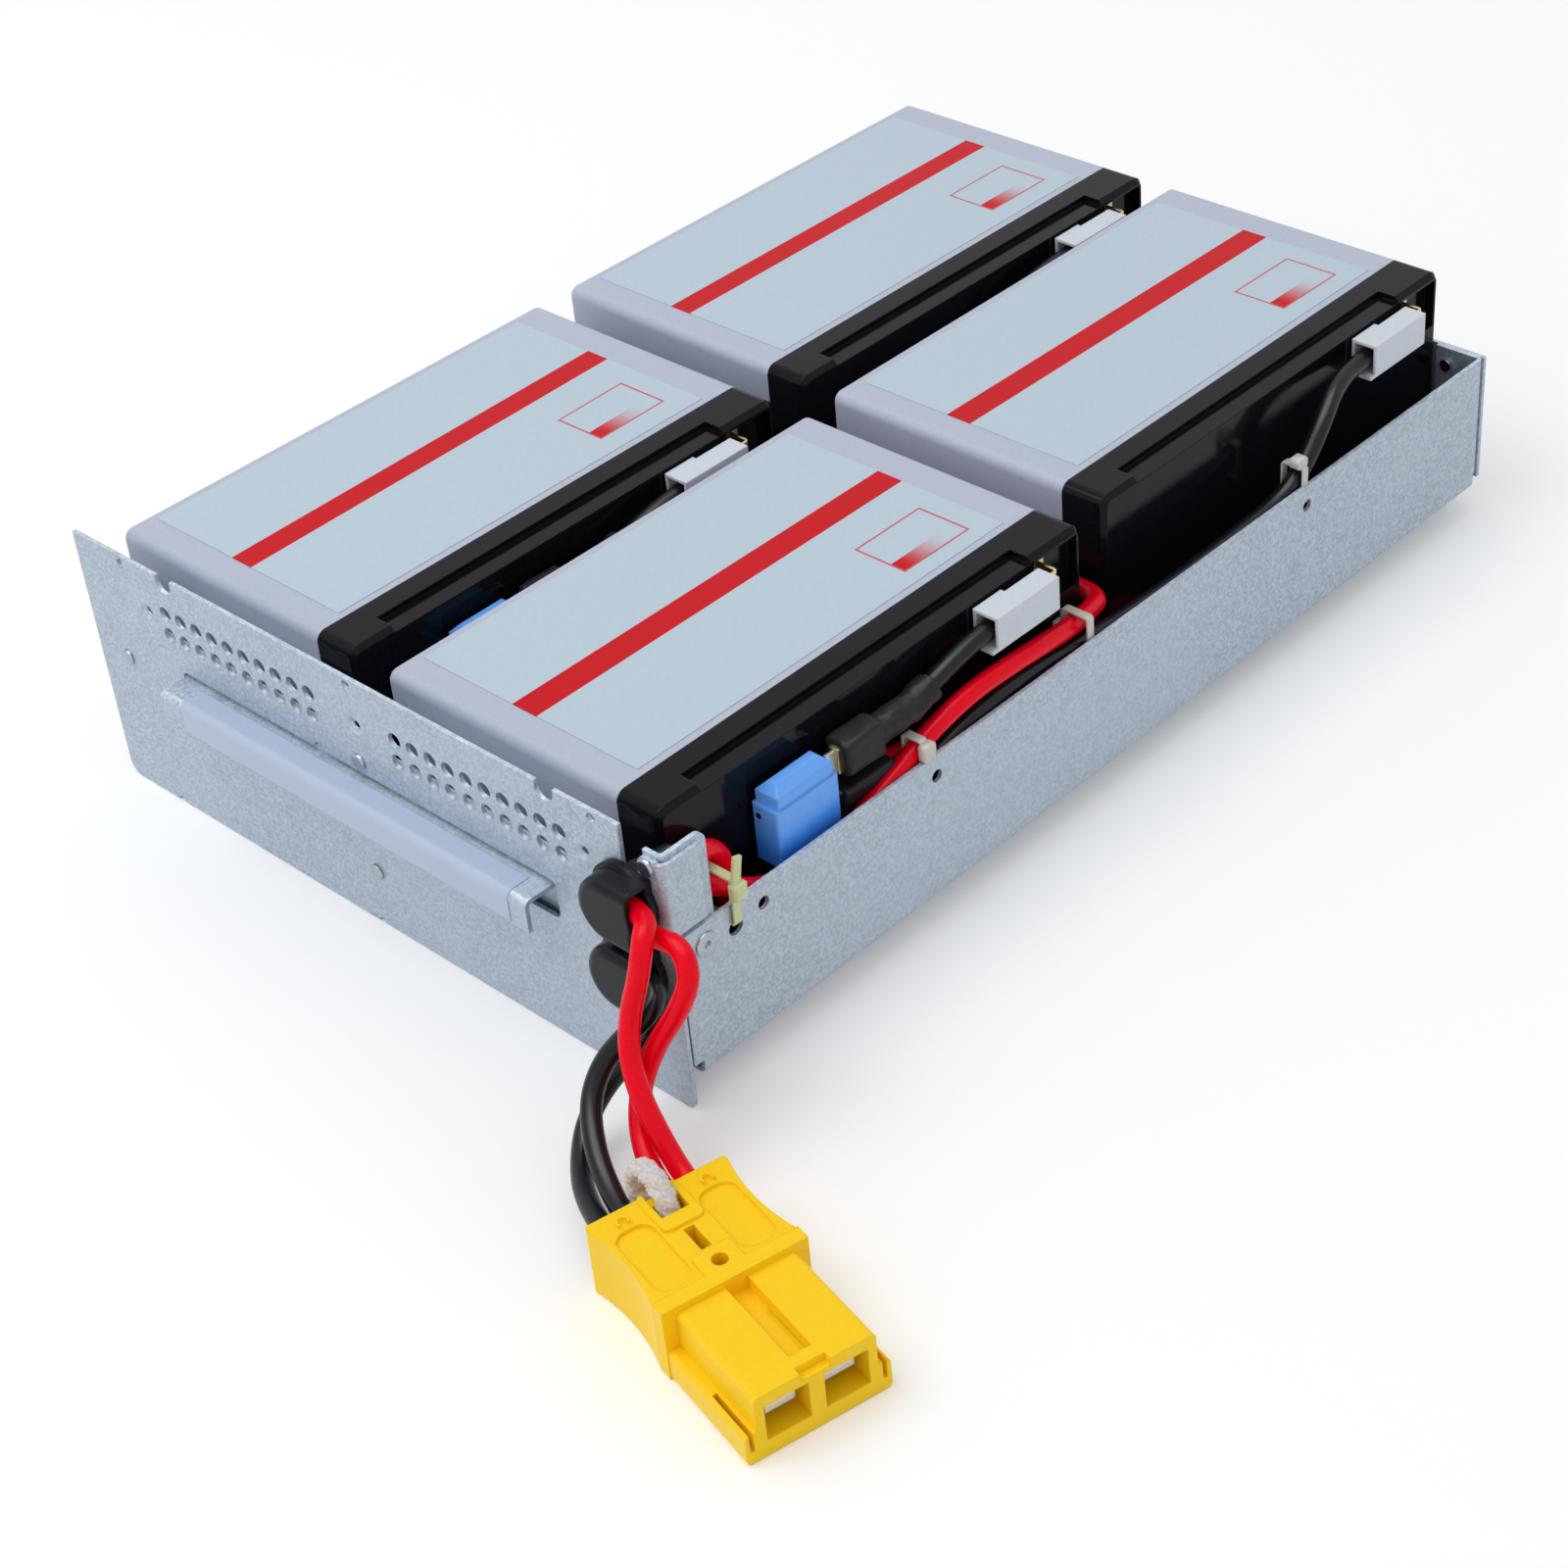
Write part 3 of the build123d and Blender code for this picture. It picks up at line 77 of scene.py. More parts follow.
red_lead_right_route = [
    (0.10050, -0.16437, 0.06090), (0.09330, -0.16437, 0.06090), (0.09350, -0.15577, 0.06090),
    (0.10090, -0.14517, 0.06160), (0.09940, -0.13778, 0.06020), (0.09840, -0.13218, 0.05320),
    (0.09830, -0.13178, 0.04000), (0.09840, -0.13208, 0.03100), (0.09840, -0.13208, 0.01950),
]
red_lead_left_route = [
    (0.10050, -0.16437, 0.05550), (0.09330, -0.16437, 0.05550), (0.09350, -0.15577, 0.05550),
    (0.10090, -0.14517, 0.05540), (0.10350, -0.13578, 0.04880), (0.10430, -0.12577, 0.04260),
    (0.10450, -0.11378, 0.04060), (0.10450, -0.09828, 0.04090), (0.10450, -0.08378, 0.04650),
    (0.10420, -0.07878, 0.04790), (0.10390, -0.07378, 0.04960), (0.10390, -0.06578, 0.05280),
    (0.10420, -0.05178, 0.05600), (0.10410, -0.03378, 0.05550), (0.10300, -0.01778, 0.05320),
    (0.10160, -0.00778, 0.05140), (0.09920, 0.00122, 0.04990), (0.09740, 0.00703, 0.04910),
    (0.09060, 0.00912, 0.04860), (0.07600, 0.00892, 0.04780), (0.04600, 0.00912, 0.04640),
    (0.01800, 0.00892, 0.04520), (0.00300, 0.00922, 0.04440), (-0.00160, 0.00603, 0.04380),
    (-0.00170, -0.00278, 0.04240), (-0.00160, -0.02178, 0.04020), (-0.00160, -0.05978, 0.03800),
    (-0.00180, -0.10178, 0.03660), (-0.00400, -0.12378, 0.03600), (-0.00870, -0.13208, 0.03350),
    (-0.00870, -0.13208, 0.01950),
]
black_lead_right_route = [
    (0.10050, -0.16437, 0.04090), (0.09330, -0.16437, 0.04090), (0.09350, -0.15577, 0.04090),
    (0.10090, -0.14517, 0.04090), (0.10430, -0.13178, 0.03860), (0.10440, -0.11378, 0.03500),
    (0.10450, -0.09577, 0.03520), (0.10440, -0.08178, 0.03860), (0.10390, -0.07378, 0.04140),
    (0.10390, -0.06178, 0.04640), (0.10420, -0.04378, 0.04980), (0.10340, -0.02578, 0.04840),
    (0.10330, -0.00578, 0.04540), (0.10400, 0.02022, 0.04440), (0.10410, 0.05422, 0.04480),
    (0.10400, 0.07822, 0.04640), (0.10410, 0.08822, 0.05340), (0.10300, 0.09722, 0.06160),
    (0.10040, 0.10522, 0.06540), (0.09775, 0.11745, 0.06620), (0.09775, 0.13145, 0.06620),
]
black_lead_left_route = [
    (0.10050, -0.16437, 0.03550), (0.09330, -0.16437, 0.03550), (0.09350, -0.15577, 0.03550),
    (0.10090, -0.14517, 0.03480), (0.10440, -0.13178, 0.03100), (0.10440, -0.10978, 0.02920),
    (0.10430, -0.08778, 0.02940), (0.10420, -0.05578, 0.03440), (0.10380, -0.02578, 0.03740),
    (0.10220, -0.00978, 0.03840), (0.09940, 0.00082, 0.03870), (0.09760, 0.00682, 0.03860),
    (0.09100, 0.00912, 0.03840), (0.07600, 0.00892, 0.03800), (0.04600, 0.00912, 0.03740),
    (0.01800, 0.00892, 0.03780), (0.00160, 0.00922, 0.03820), (-0.00350, 0.01182, 0.03880),
    (-0.00380, 0.02122, 0.03960), (-0.00370, 0.04822, 0.04140), (-0.00380, 0.08222, 0.04700),
    (-0.00460, 0.09322, 0.05700), (-0.00700, 0.10322, 0.06440), (-0.00715, 0.11745, 0.06620),
    (-0.00715, 0.13145, 0.06620),
]
jumper_left_route = [
    (-0.00675, -0.08348, 0.06000), (-0.00675, -0.06948, 0.06000), (-0.00715, -0.04505, 0.06620),
    (-0.00715, -0.03105, 0.06620),
]
jumper_right_route = [
    (0.10035, -0.08348, 0.06000), (0.10035, -0.06948, 0.06000), (0.09995, -0.04505, 0.06620),
    (0.09995, -0.03105, 0.06620),
]

# The leads that leave the boots and end in the connector: name, route, length.
FREE_LEADS = [
    ("lead_red_upper", lead_red_upper_route, 0.0840),
    ("lead_red_lower", lead_red_lower_route, 0.0930),
    ("lead_black_upper", lead_black_upper_route, 0.0797),
    ("lead_black_lower", lead_black_lower_route, 0.0908),
]
# The leads that lie in the channels or behind the fuses: name, route, slot.
HELD_LEADS = [
    ("red_lead_right", red_lead_right_route, "lead_red"),
    ("red_lead_left", red_lead_left_route, "lead_red"),
    ("black_lead_right", black_lead_right_route, "lead_black"),
    ("black_lead_left", black_lead_left_route, "lead_black"),
    ("jumper_lead_left", jumper_left_route, "lead_black"),
    ("jumper_lead_right", jumper_right_route, "lead_black"),
]
# How finely a lead is made, round its insulation and along its route.
LEAD_ROUND = 7
LEAD_STEPS = 14

# The connector lies on the floor: where its plan starts, and how far it is turned.
CONNECTOR_PLACE = Vector((0.1360, -0.196875, 0.0))
CONNECTOR_TURN = math.radians(-13.3)

# The strings of blocks, and how far each stands from the right one, where places are given.
STRINGS = (("right", 0.0), ("left", -0.1071))
# The cuffs round the two receptacles behind a fuse: middle, size, rounding, and cuts for the
# wrinkles. Below the lower one's middle, LEAD_SIDE keeps it off the lead beside its foot.
UPPER_CLIP = Vector((0.1002, -0.0880, 0.0600))
UPPER_CUFF = (0.0082, 0.0136, 0.0100)
LOWER_CLIP = Vector((0.0997, -0.0868, 0.0474))
LOWER_CUFF = (0.0086, 0.0184, 0.0088)
CUFF_ROUNDING = 0.0016
CUFF_CUTS = 6
LEAD_SIDE = 0.1019
# Lumps in a shrunk sleeve's skin, to the metre each way, then how many times as many the small
# ones are, and how high against the others.
LUMPS = Vector((260, 210, 260))
SMALL_LUMPS = 2.7
SMALL_LUMPS_HEIGHT = 0.4

# The pull loop on the connector's plan (along, across, height), and its mesh's divisions.
LOOP_PLACE = (-0.001, 0.0, 0.0154)
LOOP_SEGMENTS = 220
LOOP_SIDES = 36
# The grooves between its strands and between their yarns: how many round the cord, how many
# turns they wind on the way round the loop, and how deep they are in shares of its radius.
STRANDS = (3, 11, 0.13)
YARNS = (9, 40, 0.05)
# Its fuzz, to the metre and how deep, and how the cord is drawn thin and tall.
FUZZ = ((700, 0.16), (1900, 0.10))
LOOP_THIN = 0.86
LOOP_TALL = 1.06

# The rear tie: where it starts, its left side, and how much of its width it keeps.
REAR_TIE_FROM = 0.07
REAR_TIE_LEFT = 0.1008
REAR_TIE_SHARE = 0.82
TIE_ROUNDING = 0.00015
# The yellow tie's tail, which leans by these radians.
TAIL_PLACE = (0.1100, -0.1392, 0.0590)
TAIL_SIZE = (0.0011, 0.0024, 0.0076)
TAIL_LEAN = (-0.28, -0.10, 0.0)
TAIL_ROUNDING = 0.0002

# The open rings on the connector's plan: their radius, their section's, and their arc in degrees.
RING_PLACE = (0.0044, 0.0108, 0.01985)
RING_RADIUS = 0.00135
RING_SECTION = 0.00032
RING_START = 45
RING_ARC = 270
RING_STEPS = 12
# The peephole in the right fuse's face, drawn as a black disc of painted shade in place of the
# hole.
PEEPHOLE_PLACE = (0.0984, -0.11983, 0.0574)
PEEPHOLE_RADIUS = 0.0008
PEEPHOLE_DEPTH = 0.0003
PEEPHOLE_ROUNDING = 0.0001

# The camera as it was solved from the straight edges: its place, and where its axes point.
CAMERA_PLACE = (0.51434, -0.50164, 0.48965)
CAMERA_RIGHT = (0.726518, 0.682686, -0.078171)
CAMERA_UP = (-0.365101, 0.47989, 0.797751)
CAMERA_BACK = (0.582127, -0.551041, 0.597898)
CAMERA_SHIFT = (-0.00511, -0.00638)
SENSOR_WIDTH = 36.0
NEAREST_SEEN = 0.01
# The floor lies a hair below the tray, and glows where it is looked at, for a pale background.
FLOOR_HEIGHT = -0.0002
FLOOR_COLOUR = (0.88, 0.885, 0.89, 1.0)
FLOOR_GLOW = 0.16
WHITE = (1.0, 1.0, 1.0, 1.0)
# The soft lamp, and how far up a reflection looks where the softbox starts and is full.
LAMP_PLACE = Vector((-0.35, -0.75, 1.5))
LAMP_AIM = Vector((0.0, 0.0, 0.03))
LAMP_WIDTH = 1.2
SOFTBOX_EDGE = (0.86, 0.95)


def colour(name, description, default):
    return FloatVectorProperty(
        name=name, description=description, subtype="COLOR", size=3, min=0, max=1, default=default
    )


def length(name, description, default):
    return FloatProperty(name=name, description=description, default=default, unit="LENGTH")


class CartridgeSizes(bpy.types.PropertyGroup):
    """Sizes of the pieces that are added to the CAD model."""

    lead_diameter: length("Lead diameter", "Across the insulation of every lead", 0.0052)
    sleeve_voxel: length("Sleeve voxel", "Grain of the shrunk sleeves' mesh", 0.00035)
    sleeve_lumps: length("Sleeve lumps", "How far the shrunk sleeves' skin wanders", 0.0005)
    loop_radius: length("Loop radius", "From the pull loop's middle to its cord", 0.0075)
    loop_cord: length("Loop cord", "Half the thickness of the pull loop's cord", 0.0024)
    edge_radius: length("Edge radius", "Rounding that the finishes give to sharp edges", 0.0004)


class CartridgeColours(bpy.types.PropertyGroup):
    """Base colours of the finishes."""

    steel: colour("Steel", "Galvanised sheet", (0.53, 0.605, 0.70))
    steel_dark: colour("Steel, dark grain", "Darker grains of the sheet", (0.33, 0.39, 0.475))
    zinc: colour("Zinc", "Rivets", (0.40, 0.43, 0.48))
    case: colour("Case", "Moulded battery cases", (0.43, 0.47, 0.585))
    lid: colour("Lid", "Glossy battery lids", (0.0045, 0.0045, 0.007))
    label: colour("Label", "Satin paper labels", (0.50, 0.60, 0.69))
    stripe: colour("Stripe", "Stripe and box on the labels", (0.57, 0.006, 0.012))
    sticker: colour("Sticker", "Blank strip on the handle", (0.44, 0.52, 0.67))
    brass: colour("Brass", "Terminals and receptacles", (0.72, 0.56, 0.30))
    cover: colour("Cover", "Milky lead covers", (0.60, 0.65, 0.72))
    # The two fuse blues are one blue, lit and shaded: painted light on the top, painted shade at
    # the foot.
    fuse: colour("Fuse", "Top of the blue fuses", (0.15, 0.41, 0.99))
    fuse_painted_shade: colour("Fuse foot", "Foot of the blue fuses", (0.022, 0.25, 0.95))
    boot: colour("Boot", "Rubber boots", (0.008, 0.009, 0.013))
    connector: colour("Connector", "Yellow moulding", (1.0, 0.63, 0.008))
    contact: colour("Contact", "Plated contacts", (0.60, 0.59, 0.56))
    cotton: colour("Cotton", "Pull loop", (0.64, 0.60, 0.58))
    red: colour("Red lead", "Red insulation", (0.84, 0.0, 0.014))
    black: colour("Black lead", "Black insulation", (0.006, 0.007, 0.010))
    sleeve: colour("Sleeve", "Shrunk sleeves", (0.014, 0.013, 0.016))
    tie: colour("Tie", "Milky cable ties", (0.58, 0.58, 0.54))
    tie_yellow: colour("Yellow tie", "Yellow-green cable tie", (0.60, 0.66, 0.36))


class StageSettings(bpy.types.PropertyGroup):
    """The camera, floor and light."""

    focal: FloatProperty(
        name="Focal length", description="Camera lens in mm", default=70.333, unit="CAMERA"
    )
    room_light: FloatProperty(name="Room", description="Strength of the even light", default=0.72)
    lamp_power: FloatProperty(
        name="Lamp", description="Watts of the soft lamp above", default=9.0, unit="POWER"
    )
    softbox: FloatProperty(name="Softbox", description="Its strength in reflections", default=5.0)
    floor_size: length("Floor size", "Side of the square floor", 8.0)


def sizes():
    return bpy.context.scene.cartridge_sizes


def colours():
    return bpy.context.scene.cartridge_colours


# ---------------------------------------------------------------- node graphs


class Graph:
    """A short way to add nodes to a tree and to join them."""

    # The factor, colours and result of a Mix node, by number because it repeats its names.
    MIX_INPUTS = (0, 6, 7)
    MIX_RESULT = 2

    def __init__(self, tree):
        self.tree = tree

    def put(self, socket, value):
        if isinstance(value, bpy.types.NodeSocket):
            self.tree.links.new(value, socket)
        else:
            socket.default_value = value

    def add(self, kind, settings=None, **values):
        node = self.tree.nodes.new(kind)
        for key, value in (settings or {}).items():
            setattr(node, key, value)
        for key, value in values.items():
            self.put(node.inputs[key.replace("_", " ")], value)
        return node

    def math(self, operation, first, second):
        node = self.add("ShaderNodeMath", {"operation": operation})
        self.put(node.inputs[0], first)
        self.put(node.inputs[1], second)
        return node.outputs[0]

    def mix(self, factor, first, second):
        node = self.add("ShaderNodeMix", {"data_type": "RGBA"})
        for number, value in zip(self.MIX_INPUTS, (factor, first, second)):
            self.put(node.inputs[number], value)
        return node.outputs[self.MIX_RESULT]

    def span(self, value, low, high, to_low=0.0, to_high=1.0):
        """Goes smoothly from to_low to to_high while the value goes from low to high."""
        node = self.add("ShaderNodeMapRange", {"interpolation_type": "SMOOTHSTEP"})
        for key, item in zip(("Value", "From Min", "From Max", "To Min", "To Max"),
                             (value, low, high, to_low, to_high)):
            self.put(node.inputs[key], item)
        return node.outputs[0]

    def noise(self, vector, scale, detail, roughness=0.5):
        node = self.add("ShaderNodeTexNoise", Vector=vector, Scale=scale, Detail=detail,
                        Roughness=roughness)
        return node.outputs["Fac"]

    def place(self):
        return self.add("ShaderNodeTexCoord").outputs["Object"]

    def group(self, name, **values):
        node = self.tree.nodes.new("ShaderNodeGroup")
        node.node_tree = bpy.data.node_groups[name]
        for key, value in values.items():
            self.put(node.inputs[key], value)
        return node.outputs


def new_group(name, inputs, outputs):
    """An empty node group: a graph to fill it, its inner inputs, and its inner outputs."""
    tree = bpy.data.node_groups.new(name, "ShaderNodeTree")
    for label, kind, value in inputs:
        item = tree.interface.new_socket(label, in_out="INPUT", socket_type="NodeSocket" + kind)
        if value is not None:
            item.default_value = value
    for label, kind in outputs:
        tree.interface.new_socket(label, in_out="OUTPUT", socket_type="NodeSocket" + kind)
    graph = Graph(tree)
    return graph, tree.nodes.new("NodeGroupInput").outputs, tree.nodes.new("NodeGroupOutput").inputs


def build_groups():
    """The effects that several finishes share."""
    graph, source, result = new_group(
        "grain", [("Vector", "Vector", None), ("Scale", "Float", 900.0), ("Sharp", "Float", 0.25)],
        [("Mask", "Float")],
    )
    fine = graph.noise(source["Vector"], source["Scale"], detail=2.0, roughness=0.6)
    low = graph.math("SUBTRACT", 0.5, source["Sharp"])
    high = graph.math("ADD", 0.5, source["Sharp"])
    graph.put(result["Mask"], graph.span(fine, low, high))

    graph, source, result = new_group(
        "handling", [("Vector", "Vector", None), ("Scale", "Float", 25.0)], [("Mask", "Float")],
    )
    wide = graph.noise(source["Vector"], source["Scale"], detail=4.0, roughness=0.6)
    graph.put(result["Mask"], graph.span(wide, low=0.42, high=0.68))

    graph, source, result = new_group(
        "soft_skin",
        [("Vector", "Vector", None), ("Radius", "Float", 0.0004), ("Scale", "Float", 1500.0),
         ("Height", "Float", 0.00002), ("Strength", "Float", 0.3)],
        [("Normal", "Vector")],
    )
    rounded = graph.add("ShaderNodeBevel", {"samples": 4}, Radius=source["Radius"])
    skin = graph.noise(source["Vector"], source["Scale"], detail=3.0)
    bump = graph.add("ShaderNodeBump", Strength=source["Strength"], Distance=source["Height"])
    graph.put(bump.inputs["Height"], skin)
    graph.put(bump.inputs["Normal"], rounded.outputs[0])
    graph.put(result["Normal"], bump.outputs[0])

    graph, source, result = new_group(
        "printed_field",
        [("Across", "Float", 0.0), ("Along", "Float", 0.0), ("Left", "Float", 0.0),
         ("Right", "Float", 1.0), ("Near", "Float", 0.0), ("Far", "Float", 1.0)],
        [("Mask", "Float")],
    )
    inside = [
        graph.math("GREATER_THAN", source["Across"], source["Left"]),
        graph.math("LESS_THAN", source["Across"], source["Right"]),
        graph.math("GREATER_THAN", source["Along"], source["Near"]),
        graph.math("LESS_THAN", source["Along"], source["Far"]),
    ]
    both = graph.math("MULTIPLY", inside[0], inside[1])
    rest = graph.math("MULTIPLY", inside[2], inside[3])
    graph.put(result["Mask"], graph.math("MULTIPLY", both, rest))


def shade(base, share=1.0):
    """A colour with this share of its brightness, as a socket takes it."""
    return (*(min(1.0, channel * share) for channel in base), 1.0)


def new_finish(name):
    """A material, a graph to feed it, and the inputs of its Principled shader."""
    material = bpy.data.materials.new(name)
    material.use_nodes = True
    graph = Graph(material.node_tree)
    return material, graph, material.node_tree.nodes["Principled BSDF"].inputs


def set_surface(surface, **values):
    """Sets what is the same all over a surface; an underscore stands for a space."""
    for key, value in values.items():
        surface[key.replace("_", " ")].default_value = value


def add_skin(graph, surface, place, **values):
    """Gives a surface its softened edges and fine bump."""
    graph.put(surface["Normal"], graph.group("soft_skin", Vector=place, **values)["Normal"])


# The plain finishes, by slot: the colour, the gloss, and what differs from plain_finish's usual
# values. Names with capitals are the shader's own sockets.
PLAIN_FINISHES = {
    "rivet_zinc": dict(base="zinc", roughness=0.22, metallic=1.0, grain=500.0),
    "case_grey": dict(base="case", roughness=0.48, variation=0.03),
    "lid_black": dict(base="lid", roughness=0.10, variation=0.2, height=1e-5,
                      Specular_IOR_Level=0.12),
    "sticker": dict(base="sticker", roughness=0.42, variation=0.02),
    "brass": dict(base="brass", roughness=0.28, metallic=1.0),
    "cover_white": dict(base="cover", roughness=0.35, variation=0.03, Subsurface_Weight=0.4,
                        Subsurface_Scale=0.003),
    "boot_rubber": dict(base="boot", roughness=0.2, radius=0.0010, Specular_IOR_Level=0.15),
    "connector_yellow": dict(base="connector", roughness=0.34, variation=0.02,
                             Subsurface_Weight=0.3, Subsurface_Scale=0.003,
                             Specular_IOR_Level=0.2),
    "contact_metal": dict(base="contact", roughness=0.3, metallic=1.0, variation=0.05),
    "cotton": dict(base="cotton", roughness=0.95, variation=0.16, grain=1400.0, height=2e-4,
                   strength=0.8, radius=0.0, Sheen_Weight=0.3),
    "lead_red": dict(base="red", roughness=0.2, variation=0.05, radius=0.0,
                     Specular_IOR_Level=0.12),
    "lead_black": dict(base="black", roughness=0.26, variation=0.15, radius=0.0,
                       Specular_IOR_Level=0.25),
    "sleeve_black": dict(base="sleeve", roughness=0.42, variation=0.2, height=5e-5, radius=0.0,
                         Specular_IOR_Level=0.2),
    "tie_white": dict(base="tie", roughness=0.33, variation=0.03, Subsurface_Weight=0.4,
                      Subsurface_Scale=0.002),
    "tie_yellow": dict(base="tie_yellow", roughness=0.35, variation=0.03, Subsurface_Weight=0.3,
                       Subsurface_Scale=0.002),
}
# How much duller a plain finish is where it has been handled.
HANDLED = 0.08


def plain_finish(name, base, roughness, metallic=0.0, variation=0.1, grain=900.0, height=2e-5,
                 strength=0.3, radius=None, **shader):
    """A moulded or metal skin: grain in the colour, handling in the gloss, fine bump."""
    material, graph, surface = new_finish(name)
    place = graph.place()
    grains = graph.group("grain", Vector=place, Scale=grain)["Mask"]
    hands = graph.group("handling", Vector=place)["Mask"]
    base = getattr(colours(), base)
    graph.put(surface["Base Color"],
              graph.mix(grains, shade(base, 1 - variation), shade(base, 1 + variation)))
    graph.put(surface["Roughness"], graph.span(hands, 0.0, 1.0, roughness, roughness + HANDLED))
    add_skin(graph, surface, place, Height=height, Strength=strength,
             Radius=sizes().edge_radius if radius is None else radius)
    set_surface(surface, Metallic=metallic, **shader)
    return material


def steel_finish():
    """Galvanised sheet: fine mottled spangle, duller where it has been handled."""
    fine_share, mottle_share, worn_share = 0.8, 0.2, 0.35
    worn_shade = 0.92
    glossy, dull = 0.42, 0.56
    material, graph, surface = new_finish("galvanised")
    place = graph.place()
    fine = graph.group("grain", Vector=place, Scale=1150.0, Sharp=0.16)["Mask"]
    mottle = graph.group("grain", Vector=place, Scale=230.0, Sharp=0.25)["Mask"]
    hands = graph.group("handling", Vector=place, Scale=14.0)["Mask"]
    both = graph.math("ADD", graph.math("MULTIPLY", fine, fine_share),
                      graph.math("MULTIPLY", mottle, mottle_share))
    sheet = graph.mix(both, shade(colours().steel_dark), shade(colours().steel))
    worn = graph.math("MULTIPLY", hands, worn_share)
    graph.put(surface["Base Color"], graph.mix(worn, sheet, shade(colours().steel, worn_shade)))
    graph.put(surface["Roughness"], graph.span(both, 0.0, 1.0, glossy, dull))
    set_surface(surface, Metallic=0.55)
    add_skin(graph, surface, place, Scale=1300.0, Height=1.5e-5, Strength=0.35, Radius=0.0003)
    return material


# The heights between which the fuses' blue turns from painted shade at the foot to a painted lit
# top.
FUSE_FULL_SHADE_HEIGHT = 0.043
FUSE_FULL_LIGHT_HEIGHT = 0.062


def fuse_finish():
    """Clear blue plastic, a little cloudy, with painted light: a lit bright top and painted shade
    towards its foot.
    """
    cloud_scale, cloud_share = 260.0, 0.4
    glossy, dull = 0.10, 0.22
    material, graph, surface = new_finish("fuse_blue")
    place = graph.place()
    height = graph.add("ShaderNodeSeparateXYZ", Vector=place).outputs["Z"]
    # Painted light and shade: by height alone, the blue is darker towards the foot and brighter at
    # the top.
    painted_top_light = graph.span(height, FUSE_FULL_SHADE_HEIGHT, FUSE_FULL_LIGHT_HEIGHT)
    cloud = graph.noise(place, cloud_scale, detail=2.0)
    uneven = graph.math("MULTIPLY", graph.math("SUBTRACT", cloud, 0.5), cloud_share)
    # The share of the painted top light, with the plastic's own random cloud added to it.
    depth = graph.math("ADD", painted_top_light, uneven)
    graph.put(surface["Base Color"],
              graph.mix(depth, shade(colours().fuse_painted_shade), shade(colours().fuse)))
    graph.put(surface["Roughness"], graph.span(cloud, 0.3, 0.7, glossy, dull))
    set_surface(surface, Subsurface_Weight=0.35, Subsurface_Scale=0.002, Specular_IOR_Level=0.3)
    add_skin(graph, surface, place, Scale=420.0, Height=6e-5, Strength=0.25, Radius=0.0007)
    return material


# Each label: its near left corner, the stripe's edges at the near end and its left edge at the
# far end, in shares of the label's width.
LABELS = {
    "label_front_right": ((0.00465, -0.138275), (0.430, 0.543), 0.430),
    "label_front_left": ((-0.10245, -0.138275), (0.427, 0.533), 0.393),
    "label_rear_right": ((0.00245, 0.024225), (0.403, 0.513), 0.420),
    "label_rear_left": ((-0.10245, 0.024225), (0.403, 0.505), 0.403),
}
LABEL_SIZE = (0.0747, 0.130)
# The stripe runs off both ends. The box beside it has three fields: the outside and the inside
# of its outline, and what is filled. Each has its left and right sides, from the stripe's left
# edge, then its near and far ends.
STRIPE_ENDS = (-0.1, 1.1)
BOX = (
    (0.275, 0.505, 0.755, 0.945),
    (0.283, 0.497, 0.760, 0.940),
    (0.435, 0.497, 0.760, 0.940),
)
# Where along the label the filling is gone and where it is full.
BOX_FADE = (0.90, 0.775)


def label_finish(name):
    """Satin paper with a stripe along it and a small outlined box that fades in colour."""
    outline_ink, fibre_shade = 0.8, 0.965
    paper_rough, ink_rough = 0.50, 0.36
    corner, (left, right), far_left = LABELS[name]
    material, graph, surface = new_finish("paper_" + name)
    place = graph.place()
    local = graph.add("ShaderNodeMapping", {"vector_type": "TEXTURE"}, Vector=place,
                      Location=(*corner, 0.0), Scale=(*LABEL_SIZE, 1.0)).outputs[0]
    split = graph.add("ShaderNodeSeparateXYZ", Vector=local).outputs
    across, along = split["X"], split["Y"]
    slide = graph.math("MULTIPLY", along, far_left - left)
    shifted = graph.math("SUBTRACT", across, slide)

    def field(start, end, near, far):
        """A printed rectangle that leans with the stripe."""
        return graph.group("printed_field", Across=shifted, Along=along, Left=start, Right=end,
                           Near=near, Far=far)["Mask"]

    stripe = field(left, right, *STRIPE_ENDS)
    outer, inner, filling = (
        field(left + start, left + end, near, far) for start, end, near, far in BOX
    )
    fade = graph.math("MULTIPLY", filling, graph.span(along, *BOX_FADE))
    outline = graph.math("MULTIPLY", graph.math("SUBTRACT", outer, inner), outline_ink)
    ink = graph.math("MAXIMUM", stripe, graph.math("MAXIMUM", fade, outline))
    fibre = graph.group("grain", Vector=place, Scale=600.0)["Mask"]
    paper = graph.mix(fibre, shade(colours().label, fibre_shade), shade(colours().label))
    graph.put(surface["Base Color"], graph.mix(ink, paper, shade(colours().stripe)))
    graph.put(surface["Roughness"], graph.span(ink, 0.0, 1.0, paper_rough, ink_rough))
    set_surface(surface, Specular_IOR_Level=0.08)
    add_skin(graph, surface, place, Scale=500.0, Height=3e-5, Strength=0.25, Radius=0.0001)
    return material


def build_finishes():
    """Every material, by the record's slot name, and one for each label."""
    made = {"galvanised": steel_finish(), "fuse_blue": fuse_finish()}
    for name, settings in PLAIN_FINISHES.items():
        made[name] = plain_finish(name, **settings)
    for name in LABELS:
        made[name] = label_finish(name)
    return made


FINISHES = {}

